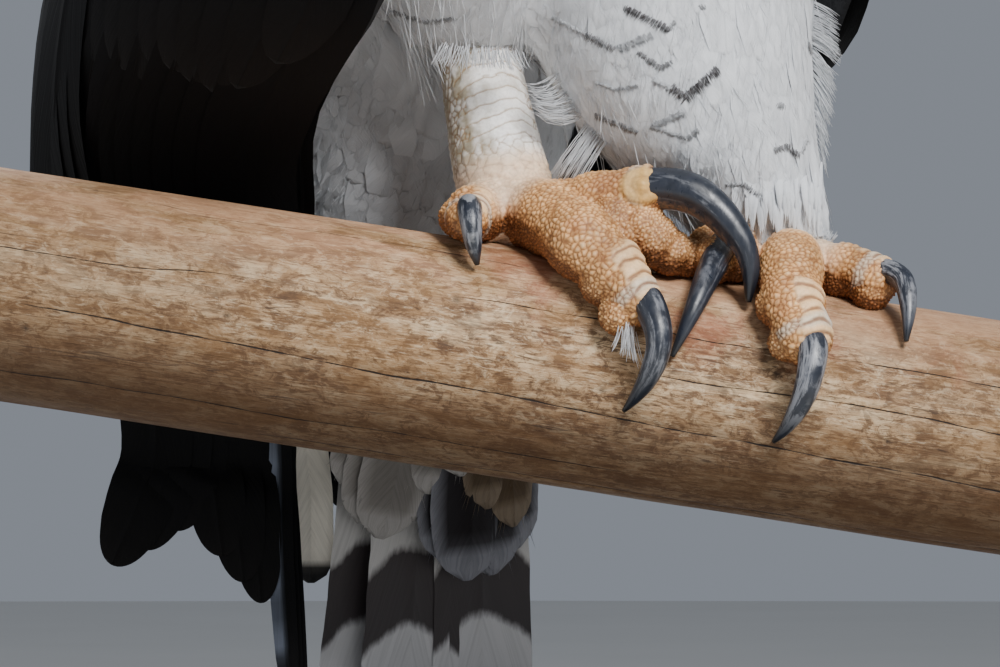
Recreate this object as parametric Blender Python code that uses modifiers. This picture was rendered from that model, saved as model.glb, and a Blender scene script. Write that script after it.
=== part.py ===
"""Harpy eagle perched on a cut length of round pole, which a plain display stand holds.

Metres, +Z up. The origin is the middle of the stand's underside. The viewer stands at -Y, the pole runs
along X and slopes down towards +X, and the bird faces the viewer, turned towards +X.
"""

import math
import random

import bmesh
import bpy
import numpy as np
from mathutils import Matrix

GAP = 0.0003  # kept between touching pieces
SOFT_GAP = 0.0006  # the same for the body, whose sloping sides are grown level
FLAT_AFTER_JOIN = 1.4  # degrees between neighbouring faces that become one
FLAT_AFTER_CUT = 0.5
SEED = 11
LENGTH_VARIATION = 0.06  # of the small feathers

# Pole: the axis lies in the plane y = POLE_Y and passes x = 0 at POLE_HEIGHT
POLE_RADIUS = 0.045
POLE_LENGTH = 0.50
POLE_SLOPE = math.radians(8.75)
POLE_HEIGHT = 0.300
POLE_Y = -0.060
POLE_SIDES = 32

# Stand
BASE_LENGTH = 0.52
BASE_DEPTH = 0.38
BASE_THICKNESS = 0.020
BASE_CORNER = 0.012
ROD_X = 0.218
ROD_RADIUS = 0.009
FLANGE_RADIUS = 0.024
FLANGE_HEIGHT = 0.006

# Bird: the point between its feet on top of the pole, and where it faces
FEET_X = 0.054
HEADING = math.radians(35)
HEAD_TURN = math.radians(14)  # back towards the viewer
HEAD_PITCH = math.radians(5)  # bill a little down

# Torso rings from vent to neck: (up, forward, half width, half depth)
TORSO_RINGS = [
    (-0.020, -0.142, 0.034, 0.020),
    (0.000, -0.143, 0.048, 0.030),
    (0.040, -0.144, 0.062, 0.038),
    (0.090, -0.139, 0.078, 0.045),
    (0.130, -0.117, 0.090, 0.062),
    (0.180, -0.088, 0.100, 0.081),
    (0.240, -0.060, 0.109, 0.094),
    (0.310, -0.034, 0.105, 0.095),
    (0.370, -0.013, 0.095, 0.087),
    (0.410, -0.004, 0.083, 0.078),
]
NECK_RINGS = [
    (0.4103, -0.004, 0.0825, 0.0775),
    (0.440, 0.001, 0.0735, 0.0690),
    (0.470, 0.004, 0.0645, 0.0605),
    (0.497, 0.001, 0.0520, 0.0470),
]
TORSO_SIDES = 22

# Folded wing, from the wrist (t = 0) to the tip of the longest feather (t = 1).
# The front and rear edge at each t: (t, forward, sideways, up)
WING_FRONT = [
    (0.00, 0.036, 0.074, 0.394),
    (0.05, 0.054, 0.090, 0.370),
    (0.15, 0.066, 0.112, 0.310),
    (0.35, 0.052, 0.130, 0.210),
    (0.54, 0.012, 0.129, 0.106),
    (0.68, -0.086, 0.101, 0.036),
    (0.75, -0.112, 0.086, -0.006),
    (0.87, -0.124, 0.074, -0.080),
    (1.00, -0.136, 0.072, -0.190),
]
WING_REAR = {
    "right": [
        (0.00, -0.022, 0.060, 0.402),
        (0.05, -0.074, 0.064, 0.386),
        (0.15, -0.132, 0.066, 0.345),
        (0.35, -0.168, 0.098, 0.225),
        (0.55, -0.196, 0.150, 0.110),
        (0.70, -0.198, 0.158, 0.020),
        (0.87, -0.188, 0.124, -0.080),
        (1.00, -0.154, 0.084, -0.190),
    ],
    "left": [
        (0.00, -0.022, 0.060, 0.402),
        (0.05, -0.076, 0.060, 0.386),
        (0.15, -0.138, 0.056, 0.345),
        (0.35, -0.176, 0.058, 0.225),
        (0.55, -0.204, 0.072, 0.110),
        (0.70, -0.216, 0.078, 0.020),
        (0.87, -0.212, 0.076, -0.080),
        (1.00, -0.190, 0.072, -0.190),
    ],
}
# How far the middle of the wing swells outward, and how thick its body is: (t, swell, thickness)
WING_BODY = [
    (0.00, 0.010, 0.020),
    (0.05, 0.024, 0.034),
    (0.20, 0.038, 0.050),
    (0.45, 0.034, 0.038),
    (0.60, 0.026, 0.018),
    (0.70, 0.018, 0.007),
    (1.00, 0.006, 0.004),
]
WING_CORE_RINGS = (0.0, 0.04, 0.12, 0.26, 0.40, 0.54, 0.66)
LEFT_WING_TUCK = (-0.040, -0.006)  # the left wing's front edge is held further back and closer

# Tiers of wing feathers, lowest first: count, root t, root v of the first and last, tip t of the first
# and last, tip v of the first and last, width, height of the tip, and rise from one to the next.
# v runs from the front edge (0) to the rear edge (1).
WING_TIERS = [
    ("primary", 5, 0.60, (0.14, 0.58), (1.00, 0.91), (0.12, 0.72), 0.032, -0.0185, 0.0026),
    ("secondary", 6, 0.46, (0.12, 0.78), (0.82, 0.92), (0.14, 0.80), 0.031, 0.0008, 0.0),
    ("great_covert", 5, 0.34, (0.10, 0.70), (0.60, 0.63), (0.12, 0.70), 0.030, 0.0036, 0.0),
    ("tertial", 2, 0.32, (0.86, 0.97), (0.88, 0.92), (0.86, 0.98), 0.034, 0.0060, 0.0),
    ("median_covert", 5, 0.20, (0.10, 0.70), (0.42, 0.45), (0.12, 0.70), 0.034, 0.0048, 0.0),
    ("lesser_covert", 3, 0.07, (0.20, 0.62), (0.26, 0.29), (0.18, 0.65), 0.046, 0.0060, 0.0),
    ("scapular", 2, 0.06, (0.84, 0.95), (0.42, 0.48), (0.84, 0.97), 0.034, 0.0060, 0.0),
]
CORE_DEPTH = 0.0035  # of the wing's body below the surface that its feathers follow
ROOT_DEPTH = 0.0065
VANE_TILT = 0.10  # each feather's front edge stands up over its neighbour's rear edge
FLIGHT_VANE = 0.0009  # thickness
COVERT_VANE = 0.0010
FRINGE_VANE = 0.0012

# Tail: centre line from root to tip in (forward, up), and its feathers
TAIL_ROOT = (-0.142, -0.0203)
TAIL_TIP = (-0.166, -0.302)
TAIL_PAIRS = 6
TAIL_FEATHER_WIDTH = 0.049
TAIL_HALF_WIDTH_TIP = 0.062
TAIL_SPREAD_ROOT = 0.52  # share of the tip's spread at the root
TAIL_COVERTS = 4  # above, and below
TAIL_LAYER = 0.0016  # from one feather to the next
# Sections of its fleshy root: (place along the tail, half width, half depth)
LID_HEIGHT = 0.05
TAIL_CORE = ((0.0, 0.034, 0.020), (0.08, 0.036, 0.016), (0.2, 0.034, 0.0095), (0.3, 0.028, 0.005))

# Legs. A point on or near the pole is (along it, degrees from its top towards the viewer,
# height of the centre above its surface, radius)
TARSUS = {
    "right": [
        (-0.0062, -10.0, 0.0120, 0.0200),
        (-0.0088, -10.5, 0.0235, 0.0188),
        (-0.0137, -11.5, 0.0361, 0.0180),
        (-0.0245, -14.5, 0.0687, 0.0160),
        (-0.0330, -18.0, 0.0930, 0.0165),
    ],
    "left": [
        (0.1052, -9.0, 0.0120, 0.0195),
        (0.1020, -10.5, 0.0254, 0.0182),
        (0.0955, -12.0, 0.0380, 0.0172),
        (0.0830, -15.0, 0.0680, 0.0158),
        (0.0730, -19.0, 0.0900, 0.0162),
    ],
}
PALM = {
    "right": (-0.0020, -4.0, 0.0135, 0.0165),
    "left": (0.1056, -4.0, 0.0138, 0.0165),
}
# Toes: 1 is the hind toe, 2 the inner, 3 the middle and 4 the outer one
TOES = {
    "right_1": [
        (-0.0040, -14.0, 0.0135, 0.0150),
        (0.0000, -34.0, 0.0130, 0.0135),
        (0.0040, -52.0, 0.0125, 0.0125),
        (0.0060, -68.0, 0.0125, 0.0115),
    ],
    "right_2": [
        (0.0030, -2.0, 0.0140, 0.0140),
        (0.0138, 1.8, 0.0172, 0.0128),
        (0.0285, 10.2, 0.0227, 0.0112),
        (0.0440, 15.4, 0.0300, 0.0098),
    ],
    "right_3": [
        (0.0000, -3.0, 0.0135, 0.0150),
        (0.0110, 12.0, 0.0135, 0.0142),
        (0.0260, 33.4, 0.0135, 0.0142),
        (0.0398, 44.7, 0.0125, 0.0128),
        (0.0488, 56.2, 0.0115, 0.0110),
    ],
    "right_4": [
        (-0.0060, -6.0, 0.0125, 0.0140),
        (-0.0150, 4.0, 0.0111, 0.0125),
        (-0.0195, 13.0, 0.0105, 0.0115),
        (-0.0212, 22.2, 0.0106, 0.0095),
    ],
    "left_1": [
        (0.1040, -14.0, 0.0135, 0.0150),
        (0.1000, -34.0, 0.0130, 0.0135),
        (0.0970, -52.0, 0.0125, 0.0125),
        (0.0955, -68.0, 0.0125, 0.0115),
    ],
    "left_2": [
        (0.1030, -5.0, 0.0140, 0.0140),
        (0.0975, -4.0, 0.0168, 0.0115),
        (0.0887, -1.2, 0.0200, 0.0100),
        (0.0817, 5.8, 0.0146, 0.0088),
    ],
    "left_3": [
        (0.1052, -2.0, 0.0135, 0.0150),
        (0.1045, 12.0, 0.0125, 0.0130),
        (0.1044, 29.3, 0.0125, 0.0124),
        (0.1069, 47.8, 0.0118, 0.0118),
        (0.1121, 61.0, 0.0115, 0.0108),
    ],
    "left_4": [
        (0.1075, -5.0, 0.0125, 0.0140),
        (0.1160, -2.0, 0.0109, 0.0122),
        (0.1257, 4.2, 0.0093, 0.0108),
        (0.1362, 13.0, 0.0090, 0.0098),
    ],
}
TALONS = {
    "right_1": [
        (0.0058, -64.0, 0.0130, 0.0086),
        (0.0068, -76.0, 0.0165, 0.0086),
        (0.0078, -92.0, 0.0190, 0.0076),
        (0.0080, -110.0, 0.0165, 0.0060),
        (0.0076, -128.0, 0.0105, 0.0038),
        (0.0070, -143.0, 0.0042, 0.0011),
    ],
    "right_2": [
        (0.0425, 15.0, 0.0300, 0.0076),
        (0.0493, 16.7, 0.0320, 0.0083),
        (0.0580, 18.6, 0.0334, 0.0083),
        (0.0655, 20.4, 0.0326, 0.0079),
        (0.0731, 23.0, 0.0294, 0.0071),
        (0.0801, 26.3, 0.0248, 0.0061),
        (0.0857, 30.1, 0.0198, 0.0049),
        (0.0889, 34.7, 0.0130, 0.0036),
        (0.0899, 41.8, 0.0042, 0.0012),
    ],
    "right_3": [
        (0.0475, 54.5, 0.0120, 0.0060),
        (0.0520, 60.1, 0.0145, 0.0068),
        (0.0577, 74.2, 0.0170, 0.0056),
        (0.0560, 86.9, 0.0128, 0.0044),
        (0.0492, 103.3, 0.0034, 0.0010),
    ],
    "right_4": [
        (-0.0208, 20.0, 0.0140, 0.0044),
        (-0.0203, 25.6, 0.0172, 0.0050),
        (-0.0189, 33.2, 0.0156, 0.0046),
        (-0.0166, 39.6, 0.0098, 0.0034),
        (-0.0142, 43.0, 0.0030, 0.0010),
    ],
    "left_1": [
        (0.0957, -64.0, 0.0130, 0.0086),
        (0.0947, -76.0, 0.0165, 0.0086),
        (0.0937, -92.0, 0.0190, 0.0076),
        (0.0935, -110.0, 0.0165, 0.0060),
        (0.0939, -128.0, 0.0105, 0.0038),
        (0.0945, -143.0, 0.0042, 0.0011),
    ],
    "left_2": [
        (0.0822, 5.0, 0.0150, 0.0062),
        (0.0785, 12.0, 0.0125, 0.0068),
        (0.0748, 30.0, 0.0098, 0.0060),
        (0.0705, 52.0, 0.0088, 0.0044),
        (0.0642, 76.1, 0.0036, 0.0010),
    ],
    "left_3": [
        (0.1115, 59.0, 0.0125, 0.0058),
        (0.1154, 66.9, 0.0155, 0.0064),
        (0.1159, 78.7, 0.0180, 0.0056),
        (0.1142, 88.3, 0.0150, 0.0046),
        (0.1111, 97.2, 0.0100, 0.0030),
        (0.1071, 106.6, 0.0040, 0.0010),
    ],
    "left_4": [
        (0.1360, 12.5, 0.0110, 0.0044),
        (0.1410, 16.8, 0.0136, 0.0050),
        (0.1475, 24.5, 0.0134, 0.0045),
        (0.1505, 36.9, 0.0088, 0.0033),
        (0.1514, 50.2, 0.0034, 0.0010),
    ],
}
# Pads under the toes
PADS = {
    "right": [
        (0.0340, 50.0, 0.0080, 0.0100),
        (0.0385, 64.0, 0.0088, 0.0086),
        (0.0500, 15.0, 0.0165, 0.0110),
        (-0.0262, 16.0, 0.0088, 0.0082),
    ],
    "left": [
        (0.0995, 46.0, 0.0085, 0.0090),
        (0.1015, 66.0, 0.0084, 0.0076),
        (0.0722, 8.0, 0.0110, 0.0078),
        (0.1365, 16.0, 0.0052, 0.0082),
    ],
}
SCUTE_COUNT = 9  # on the bare lower leg
SCUTE_HEIGHT = 0.0008
TOE_SIDES = 8
TOE_SCUTES_FROM = 0.50  # of the toe's length
TOE_SCUTE_RINGS = 5

# Feathered thighs, from the hip to above the foot: offset from the point between the feet
# in (x, y, up), then half width and half depth
THIGHS = {
    "right": [
        (-0.066, 0.034, 0.240, 0.044, 0.046),
        (-0.070, 0.022, 0.195, 0.058, 0.058),
        (-0.070, 0.020, 0.150, 0.056, 0.054),
        (-0.067, 0.026, 0.118, 0.045, 0.043),
        (-0.065, 0.033, 0.096, 0.033, 0.032),
        (-0.066, 0.038, 0.083, 0.025, 0.026),
    ],
    "left": [
        (0.004, 0.076, 0.230, 0.044, 0.046),
        (0.010, 0.056, 0.180, 0.060, 0.058),
        (0.015, 0.038, 0.125, 0.062, 0.058),
        (0.018, 0.027, 0.080, 0.058, 0.053),
        (0.028, 0.024, 0.045, 0.047, 0.045),
        (0.046, 0.022, 0.020, 0.031, 0.031),
        (0.052, 0.021, 0.012, 0.025, 0.027),
    ],
}
# Feathers round the lower edge of each thigh: (ring they root at, ring they reach, count, length)
THIGH_FRINGE = {"right": (2.6, 4.4, 7, 0.050), "left": (3.4, 5.3, 8, 0.050)}

# Head, in its own frame (forward, sideways, up) from the middle of the skull
HEAD_CENTRE = (0.016, 0.0, 0.525)  # bird frame
SKULL = (0.066, 0.055, 0.053)
EYE = (0.0345, 0.0385, 0.0085)
EYE_RADIUS = 0.0118
EYE_LOOK = (0.74, 0.67)  # forward and outward
LID_AHEAD = 0.0058  # of the eye's middle
LID_RING = 0.0106
LID_RADIUS = 0.0020
# Brow over each eye: (forward, sideways, up, radius)
BROW = [
    (0.056, 0.021, 0.019, 0.0022),
    (0.050, 0.034, 0.0215, 0.0046),
    (0.036, 0.0455, 0.0205, 0.0044),
    (0.018, 0.051, 0.015, 0.0020),
]
# Bill rings: (forward, up, half width, half height)
UPPER_BILL = [
    (0.044, 0.004, 0.0150, 0.0190),
    (0.060, 0.005, 0.0142, 0.0186),
    (0.076, 0.003, 0.0118, 0.0160),
    (0.090, -0.004, 0.0086, 0.0122),
    (0.099, -0.015, 0.0056, 0.0082),
    (0.1015, -0.027, 0.0028, 0.0044),
    (0.0995, -0.037, 0.0007, 0.0009),
]
LOWER_BILL = [
    (0.042, -0.0170, 0.0128, 0.0075),
    (0.060, -0.0185, 0.0110, 0.0066),
    (0.074, -0.0195, 0.0080, 0.0048),
    (0.084, -0.0195, 0.0040, 0.0022),
]
NOSTRIL = (0.063, 0.0135, 0.0095, 0.0026)  # forward, sideways, up, radius
# Mouth line from below the eye to the bill: (forward, sideways, up) of its ends, and its height
GAPE_REAR = (0.030, 0.043, -0.0165)
GAPE_FRONT = (0.067, 0.0050, -0.0110)
GAPE_HEIGHT = 0.0018
GAPE_REACH = 0.030
# Crest feathers of one side: (root forward, sideways, up, length, lean back, splay out) in degrees
CREST = [
    (-0.012, 0.010, 0.050, 0.052, 34, 10),
    (-0.018, 0.020, 0.047, 0.066, 40, 20),
    (-0.028, 0.013, 0.047, 0.078, 48, 12),
    (-0.032, 0.026, 0.042, 0.084, 54, 26),
    (-0.042, 0.012, 0.040, 0.078, 66, 10),
    (-0.044, 0.027, 0.034, 0.072, 74, 30),
]
CREST_WIDTH = 0.030
RUFF_COUNT = 6
RUFF_LENGTH = 0.036

AXIS = np.array([math.cos(POLE_SLOPE), 0.0, -math.sin(POLE_SLOPE)])
OUT = np.array([math.sin(POLE_SLOPE), 0.0, math.cos(POLE_SLOPE)])
TOWARDS = np.array([0.0, -1.0, 0.0])
UP = np.array([0.0, 0.0, 1.0])
POLE_MIDDLE = np.array([0.0, POLE_Y, POLE_HEIGHT])
FEET = np.array(
    [FEET_X, POLE_Y, POLE_HEIGHT + POLE_RADIUS / math.cos(POLE_SLOPE) - FEET_X * math.tan(POLE_SLOPE)]
)
FORWARD = np.array([math.sin(HEADING), -math.cos(HEADING), 0.0])
RIGHTWARD = np.array([-math.cos(HEADING), -math.sin(HEADING), 0.0])


def material(name, colour, roughness, metallic=0.0):
    """A plain Principled material of one colour."""
    made = bpy.data.materials.new(name)
    made.use_nodes = True
    shader = made.node_tree.nodes["Principled BSDF"]
    shader.inputs["Base Color"].default_value = (*colour, 1.0)
    shader.inputs["Roughness"].default_value = roughness
    shader.inputs["Metallic"].default_value = metallic
    return made


def bird(forward, side, up):
    """A point of the bird's frame, in the part's. Side is positive to the bird's right."""
    return FEET + forward * FORWARD + side * RIGHTWARD + up * UP


def on_pole(along, degrees, rise):
    """A point near the pole: along it, round it from its top towards the viewer, and above its surface."""
    angle = math.radians(degrees)
    away = math.sin(angle) * TOWARDS + math.cos(angle) * OUT
    return POLE_MIDDLE + along * AXIS + (POLE_RADIUS + rise) * away


def unit(vector):
    return vector / np.linalg.norm(vector)


def curve_at(table, t):
    """A smooth curve through the rows of a table, whose first column is the parameter."""
    rows = np.asarray(table, float)
    knots, values = rows[:, 0], rows[:, 1:]
    slopes = np.gradient(values, knots, axis=0)
    i = int(np.clip(np.searchsorted(knots, t) - 1, 0, len(knots) - 2))
    span = knots[i + 1] - knots[i]
    x = (t - knots[i]) / span
    return (
        (2 * x**3 - 3 * x**2 + 1) * values[i]
        + (x**3 - 2 * x**2 + x) * span * slopes[i]
        + (3 * x**2 - 2 * x**3) * values[i + 1]
        + (x**3 - x**2) * span * slopes[i + 1]
    )


def smooth_rows(rows, count):
    """The same rows of numbers, drawn again at count places along a smooth curve through them."""
    table = np.column_stack([np.linspace(0, 1, len(rows)), np.asarray(rows, float)])
    return np.array([curve_at(table, t) for t in np.linspace(0, 1, count)])


def mesh_object(name, points, faces, finish, collection):
    """A mesh object with its faces turned outward."""
    mesh = bpy.data.meshes.new(name)
    mesh.from_pydata([tuple(p) for p in points], [], faces)
    work = bmesh.new()
    work.from_mesh(mesh)
    bmesh.ops.recalc_face_normals(work, faces=work.faces)
    work.to_mesh(mesh)
    work.free()
    mesh.materials.append(finish)
    made = bpy.data.objects.new(name, mesh)
    collection.objects.link(made)
    return made


def loft(name, rings, finish, collection):
    """A closed body through rings of points, each end closed by a flat face."""
    count, sides = len(rings), len(rings[0])
    points = np.concatenate(rings)
    faces = []
    for i in range(count - 1):
        for j in range(sides):
            k = (j + 1) % sides
            a, b, c, d = i * sides + j, i * sides + k, (i + 1) * sides + k, (i + 1) * sides + j
            faces += [(a, b, c), (a, c, d)]
    faces.append(tuple(range(sides))[::-1])
    faces.append(tuple((count - 1) * sides + j for j in range(sides)))
    return mesh_object(name, points, faces, finish, collection)


def ellipse(centre, first, second, sides):
    """A ring round a centre, with two vectors as its half axes."""
    turns = np.arange(sides) * 2 * math.pi / sides
    return centre + np.outer(np.cos(turns), first) + np.outer(np.sin(turns), second)


def tube_rings(points, radii, sides, flatten=1.0):
    """Rings square to a path, carried along it without twist. Flatten scales their second axis."""
    tangents = np.gradient(points, axis=0)
    side = unit(np.cross(tangents[0], UP if abs(unit(tangents[0])[2]) < 0.9 else TOWARDS))
    rings = []
    for point, tangent, radius in zip(points, tangents, radii):
        tangent = unit(tangent)
        side = unit(side - tangent * np.dot(side, tangent))
        other = np.cross(tangent, side)
        rings.append(ellipse(point, side * radius, other * radius * flatten, sides))
    return rings


def gripping_tube(name, table, places, sides, finish, collection, grow=0.0, step=0.0, domed=False):
    """A tube through the points of a table given in the pole's terms, with a ring at each place
    along it (0 to 1) and a step in its radius for each ring."""
    table = np.column_stack([np.linspace(0, 1, len(table)), np.asarray(table, float)])
    rows = np.array([curve_at(table, t) for t in places])
    points = np.array([on_pole(*row[:3]) for row in rows])
    radii = rows[:, 3] + grow + step
    if domed:
        ahead = unit(points[-1] - points[-2]) * radii[-1]
        points = np.concatenate([points, [points[-1] + ahead * 0.55, points[-1] + ahead * 0.88]])
        radii = np.concatenate([radii, radii[-1] * np.array([0.83, 0.45])])
    if grow:
        points[0] -= unit(points[1] - points[0]) * grow
        points[-1] += unit(points[-1] - points[-2]) * grow
    return loft(name, tube_rings(points, radii, sides), finish, collection)


def placed(work, name, centre, axes, finish, collection):
    """A mesh object from a primitive, set at a centre with its own x, y and z along three axes."""
    columns = [Matrix.Identity(3)[i] for i in range(3)] if axes is None else axes
    turn = Matrix(np.array([tuple(c) for c in columns]).T.tolist()).to_4x4()
    bmesh.ops.transform(work, matrix=Matrix.Translation(tuple(centre)) @ turn, verts=work.verts)
    mesh = bpy.data.meshes.new(name)
    work.to_mesh(mesh)
    work.free()
    mesh.materials.append(finish)
    made = bpy.data.objects.new(name, mesh)
    collection.objects.link(made)
    return made


def ball(name, centre, radius, finish, collection, segments=10, rings=7):
    """A sphere."""
    work = bmesh.new()
    bmesh.ops.create_uvsphere(work, u_segments=segments, v_segments=rings, radius=radius)
    return placed(work, name, centre, None, finish, collection)


def cylinder(name, centre, axes, radius, length, sides, finish, collection):
    """A many-sided cylinder, its length along the third axis."""
    work = bmesh.new()
    bmesh.ops.create_cone(
        work, cap_ends=True, segments=sides, radius1=radius, radius2=radius, depth=length
    )
    return placed(work, name, centre, axes, finish, collection)


def block(name, centre, axes, sizes, finish, collection):
    """A box."""
    work = bmesh.new()
    bmesh.ops.create_cube(work, size=1.0)
    bmesh.ops.scale(work, verts=work.verts, vec=sizes)
    return placed(work, name, centre, axes, finish, collection)


def ring(name, centre, axes, ring_radius, radius, finish, collection):
    """A torus round the third axis."""
    bpy.ops.mesh.primitive_torus_add(
        major_segments=12, minor_segments=5, major_radius=ring_radius, minor_radius=radius
    )
    torus = bpy.context.object
    work = bmesh.new()
    work.from_mesh(torus.data)
    bpy.data.objects.remove(torus)
    return placed(work, name, centre, axes, finish, collection)


def vane(name, points, across, half_widths, thickness, finish, collection):
    """A feather: a thin closed strip along a path, split alike on both faces."""
    tangents = np.gradient(points, axis=0)
    corners = []
    for point, tangent, side, half in zip(points, tangents, across, half_widths):
        side = unit(side - unit(tangent) * np.dot(side, unit(tangent)))
        lift = unit(np.cross(unit(tangent), side)) * thickness / 2
        corners.append([point - side * half - lift, point + side * half - lift])
        corners[-1] += [point + side * half + lift, point - side * half + lift]
    faces = [(3, 2, 1, 0)]
    for i in range(len(points) - 1):
        a, b = 4 * i, 4 * (i + 1)
        faces += [(a, a + 1, b + 1), (a, b + 1, b), (a + 3, b + 2, a + 2), (a + 3, b + 3, b + 2)]
        faces += [(a + 1, a + 2, b + 2), (a + 1, b + 2, b + 1), (a + 3, a, b), (a + 3, b, b + 3)]
    last = 4 * (len(points) - 1)
    faces.append((last, last + 1, last + 2, last + 3))
    return mesh_object(name, np.concatenate(corners), faces, finish, collection)


def applied(obj):
    """The object with its modifiers made part of its mesh."""
    graph = bpy.context.evaluated_depsgraph_get()
    mesh = bpy.data.meshes.new_from_object(obj.evaluated_get(graph))
    obj.modifiers.clear()
    obj.data = mesh
    return obj


def keep_largest(obj):
    """Drops every closed surface of the object but the one that encloses the most."""
    work = bmesh.new()
    work.from_mesh(obj.data)
    left = set(work.verts)
    islands = []
    while left:
        stack = [left.pop()]
        island = set(stack)
        while stack:
            for edge in stack.pop().link_edges:
                for vert in edge.verts:
                    if vert in left:
                        left.remove(vert)
                        island.add(vert)
                        stack.append(vert)
        islands.append(island)
    if len(islands) > 1:

        def size(island):
            spots = np.array([v.co for v in island])
            return np.prod(spots.max(0) - spots.min(0))

        islands.sort(key=size)
        for island in islands[:-1]:
            bmesh.ops.delete(work, geom=list(island), context="VERTS")
    work.to_mesh(obj.data)
    work.free()
    return obj


def flatten(obj, degrees):
    """Joins neighbouring faces that lie in nearly one plane."""
    work = bmesh.new()
    work.from_mesh(obj.data)
    angle = math.radians(degrees)
    bmesh.ops.dissolve_limit(work, angle_limit=angle, verts=work.verts, edges=work.edges)
    work.to_mesh(obj.data)
    work.free()
    return obj


def fuse(body, pieces):
    """Joins the objects of a collection to the body, and removes them."""
    bpy.context.view_layer.update()
    join = body.modifiers.new("join", "BOOLEAN")
    join.operation = "UNION"
    join.operand_type = "COLLECTION"
    join.collection = pieces
    applied(body)
    for piece in list(pieces.objects):
        bpy.data.objects.remove(piece)
    bpy.data.collections.remove(pieces)
    return flatten(keep_largest(body), FLAT_AFTER_JOIN)


def cut(body, *cutters):
    """Takes each cutter away from the body."""
    for cutter in cutters:
        bpy.context.view_layer.update()
        carve = body.modifiers.new("cut", "BOOLEAN")
        carve.operation = "DIFFERENCE"
        carve.object = cutter
        applied(body)
    return flatten(keep_largest(body), FLAT_AFTER_CUT)


def pieces_for(name):
    """An empty collection for the pieces that will be joined."""
    made = bpy.data.collections.new(name)
    bpy.context.scene.collection.children.link(made)
    return made


def as_cutter(obj):
    """Marks an object as a helper, which no render shows."""
    obj.hide_render = True
    obj.display_type = "WIRE"
    return obj


def build_stand(parts, cutters, finish):
    """The base plate and the two rods up to the pole."""
    sizes = (BASE_LENGTH, BASE_DEPTH, BASE_THICKNESS)
    base = block("stand_base", (0, 0, BASE_THICKNESS / 2), None, sizes, finish, parts)
    mesh = base.data
    uprights = base.modifiers.new("corners", "BEVEL")
    uprights.width = BASE_CORNER
    uprights.segments = 3
    uprights.limit_method = "WEIGHT"
    weights = mesh.attributes.new("bevel_weight_edge", "FLOAT", "EDGE")
    for edge in mesh.edges:
        ends = [mesh.vertices[v].co for v in edge.vertices]
        weights.data[edge.index].value = 1.0 if abs(ends[0].z - ends[1].z) > 0.001 else 0.0
    rim = base.modifiers.new("rim", "BEVEL")
    rim.width = 0.002
    rim.segments = 2
    rim.limit_method = "ANGLE"
    rim.angle_limit = math.radians(60)

    pole_grown = as_cutter(pole_body("pole_for_rods", cutters, finish, GAP))
    for name, x in (("stand_rod_left", -ROD_X), ("stand_rod_right", ROD_X)):
        top = POLE_HEIGHT - x * math.tan(POLE_SLOPE)
        bottom = BASE_THICKNESS + GAP
        profile = [
            (0.0, top),
            (ROD_RADIUS, top),
            (ROD_RADIUS, bottom + FLANGE_HEIGHT + 0.003),
            (ROD_RADIUS + 0.003, bottom + FLANGE_HEIGHT),
            (FLANGE_RADIUS - 0.0015, bottom + FLANGE_HEIGHT),
            (FLANGE_RADIUS, bottom + FLANGE_HEIGHT - 0.0015),
            (FLANGE_RADIUS, bottom),
            (0.0, bottom),
        ]
        outline = bpy.data.meshes.new(name)
        edges = [(i, i + 1) for i in range(len(profile) - 1)]
        outline.from_pydata([(r, 0, z) for r, z in profile], edges, [])
        outline.materials.append(finish)
        rod = bpy.data.objects.new(name, outline)
        parts.objects.link(rod)
        turn = rod.modifiers.new("turn", "SCREW")
        turn.steps = 12
        turn.render_steps = 12
        turn.use_merge_vertices = True
        turn.merge_threshold = 0.0001
        rod.location = (x, POLE_Y, 0)
        cut(rod, pole_grown)


def pole_body(name, collection, finish, grow=0.0):
    """The pole as a many-sided rod, grown where it serves as a cutter."""
    around = (POLE_RADIUS + grow) / math.cos(math.pi / POLE_SIDES) if grow else POLE_RADIUS
    length = POLE_LENGTH + 2 * grow
    axes = (OUT, TOWARDS, AXIS)
    return cylinder(name, POLE_MIDDLE, axes, around, length, POLE_SIDES, finish, collection)


def body_rings(table, grow=0.0):
    """Level rings of the torso or neck."""
    rings = []
    for i, (up, forward, half_width, half_depth) in enumerate(table):
        level = up - grow if i == 0 else up + grow if i == len(table) - 1 else up
        centre = bird(forward, 0, level)
        across = RIGHTWARD * (half_width + grow)
        rings.append(ellipse(centre, across, FORWARD * (half_depth + grow), TORSO_SIDES))
    return rings


def build_trunk(parts, cutters, white, grey):
    """Torso and neck, and grown copies that cut what lies against them."""
    loft("torso", body_rings(TORSO_RINGS), white, parts)
    loft("neck", body_rings(NECK_RINGS), grey, parts)
    torso_grown = as_cutter(loft("torso_grown", body_rings(TORSO_RINGS, SOFT_GAP), white, cutters))
    neck_grown = as_cutter(loft("neck_grown", body_rings(NECK_RINGS, SOFT_GAP), white, cutters))
    return torso_grown, neck_grown


def tarsus_rings(side, grow=0.0):
    """Rings of the bare lower leg, stepped on its length where its scutes overlap."""
    rows = smooth_rows(TARSUS[side], 2 * SCUTE_COUNT + 2)
    points = np.array([on_pole(*row[:3]) for row in rows])
    step = np.array([SCUTE_HEIGHT if i % 2 else 0.0 for i in range(len(rows))])
    radii = rows[:, 3] + (grow + SCUTE_HEIGHT if grow else step)
    if grow:
        points[0] -= unit(points[1] - points[0]) * grow
        points[-1] += unit(points[-1] - points[-2]) * grow
    return tube_rings(points, radii, 10)


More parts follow.
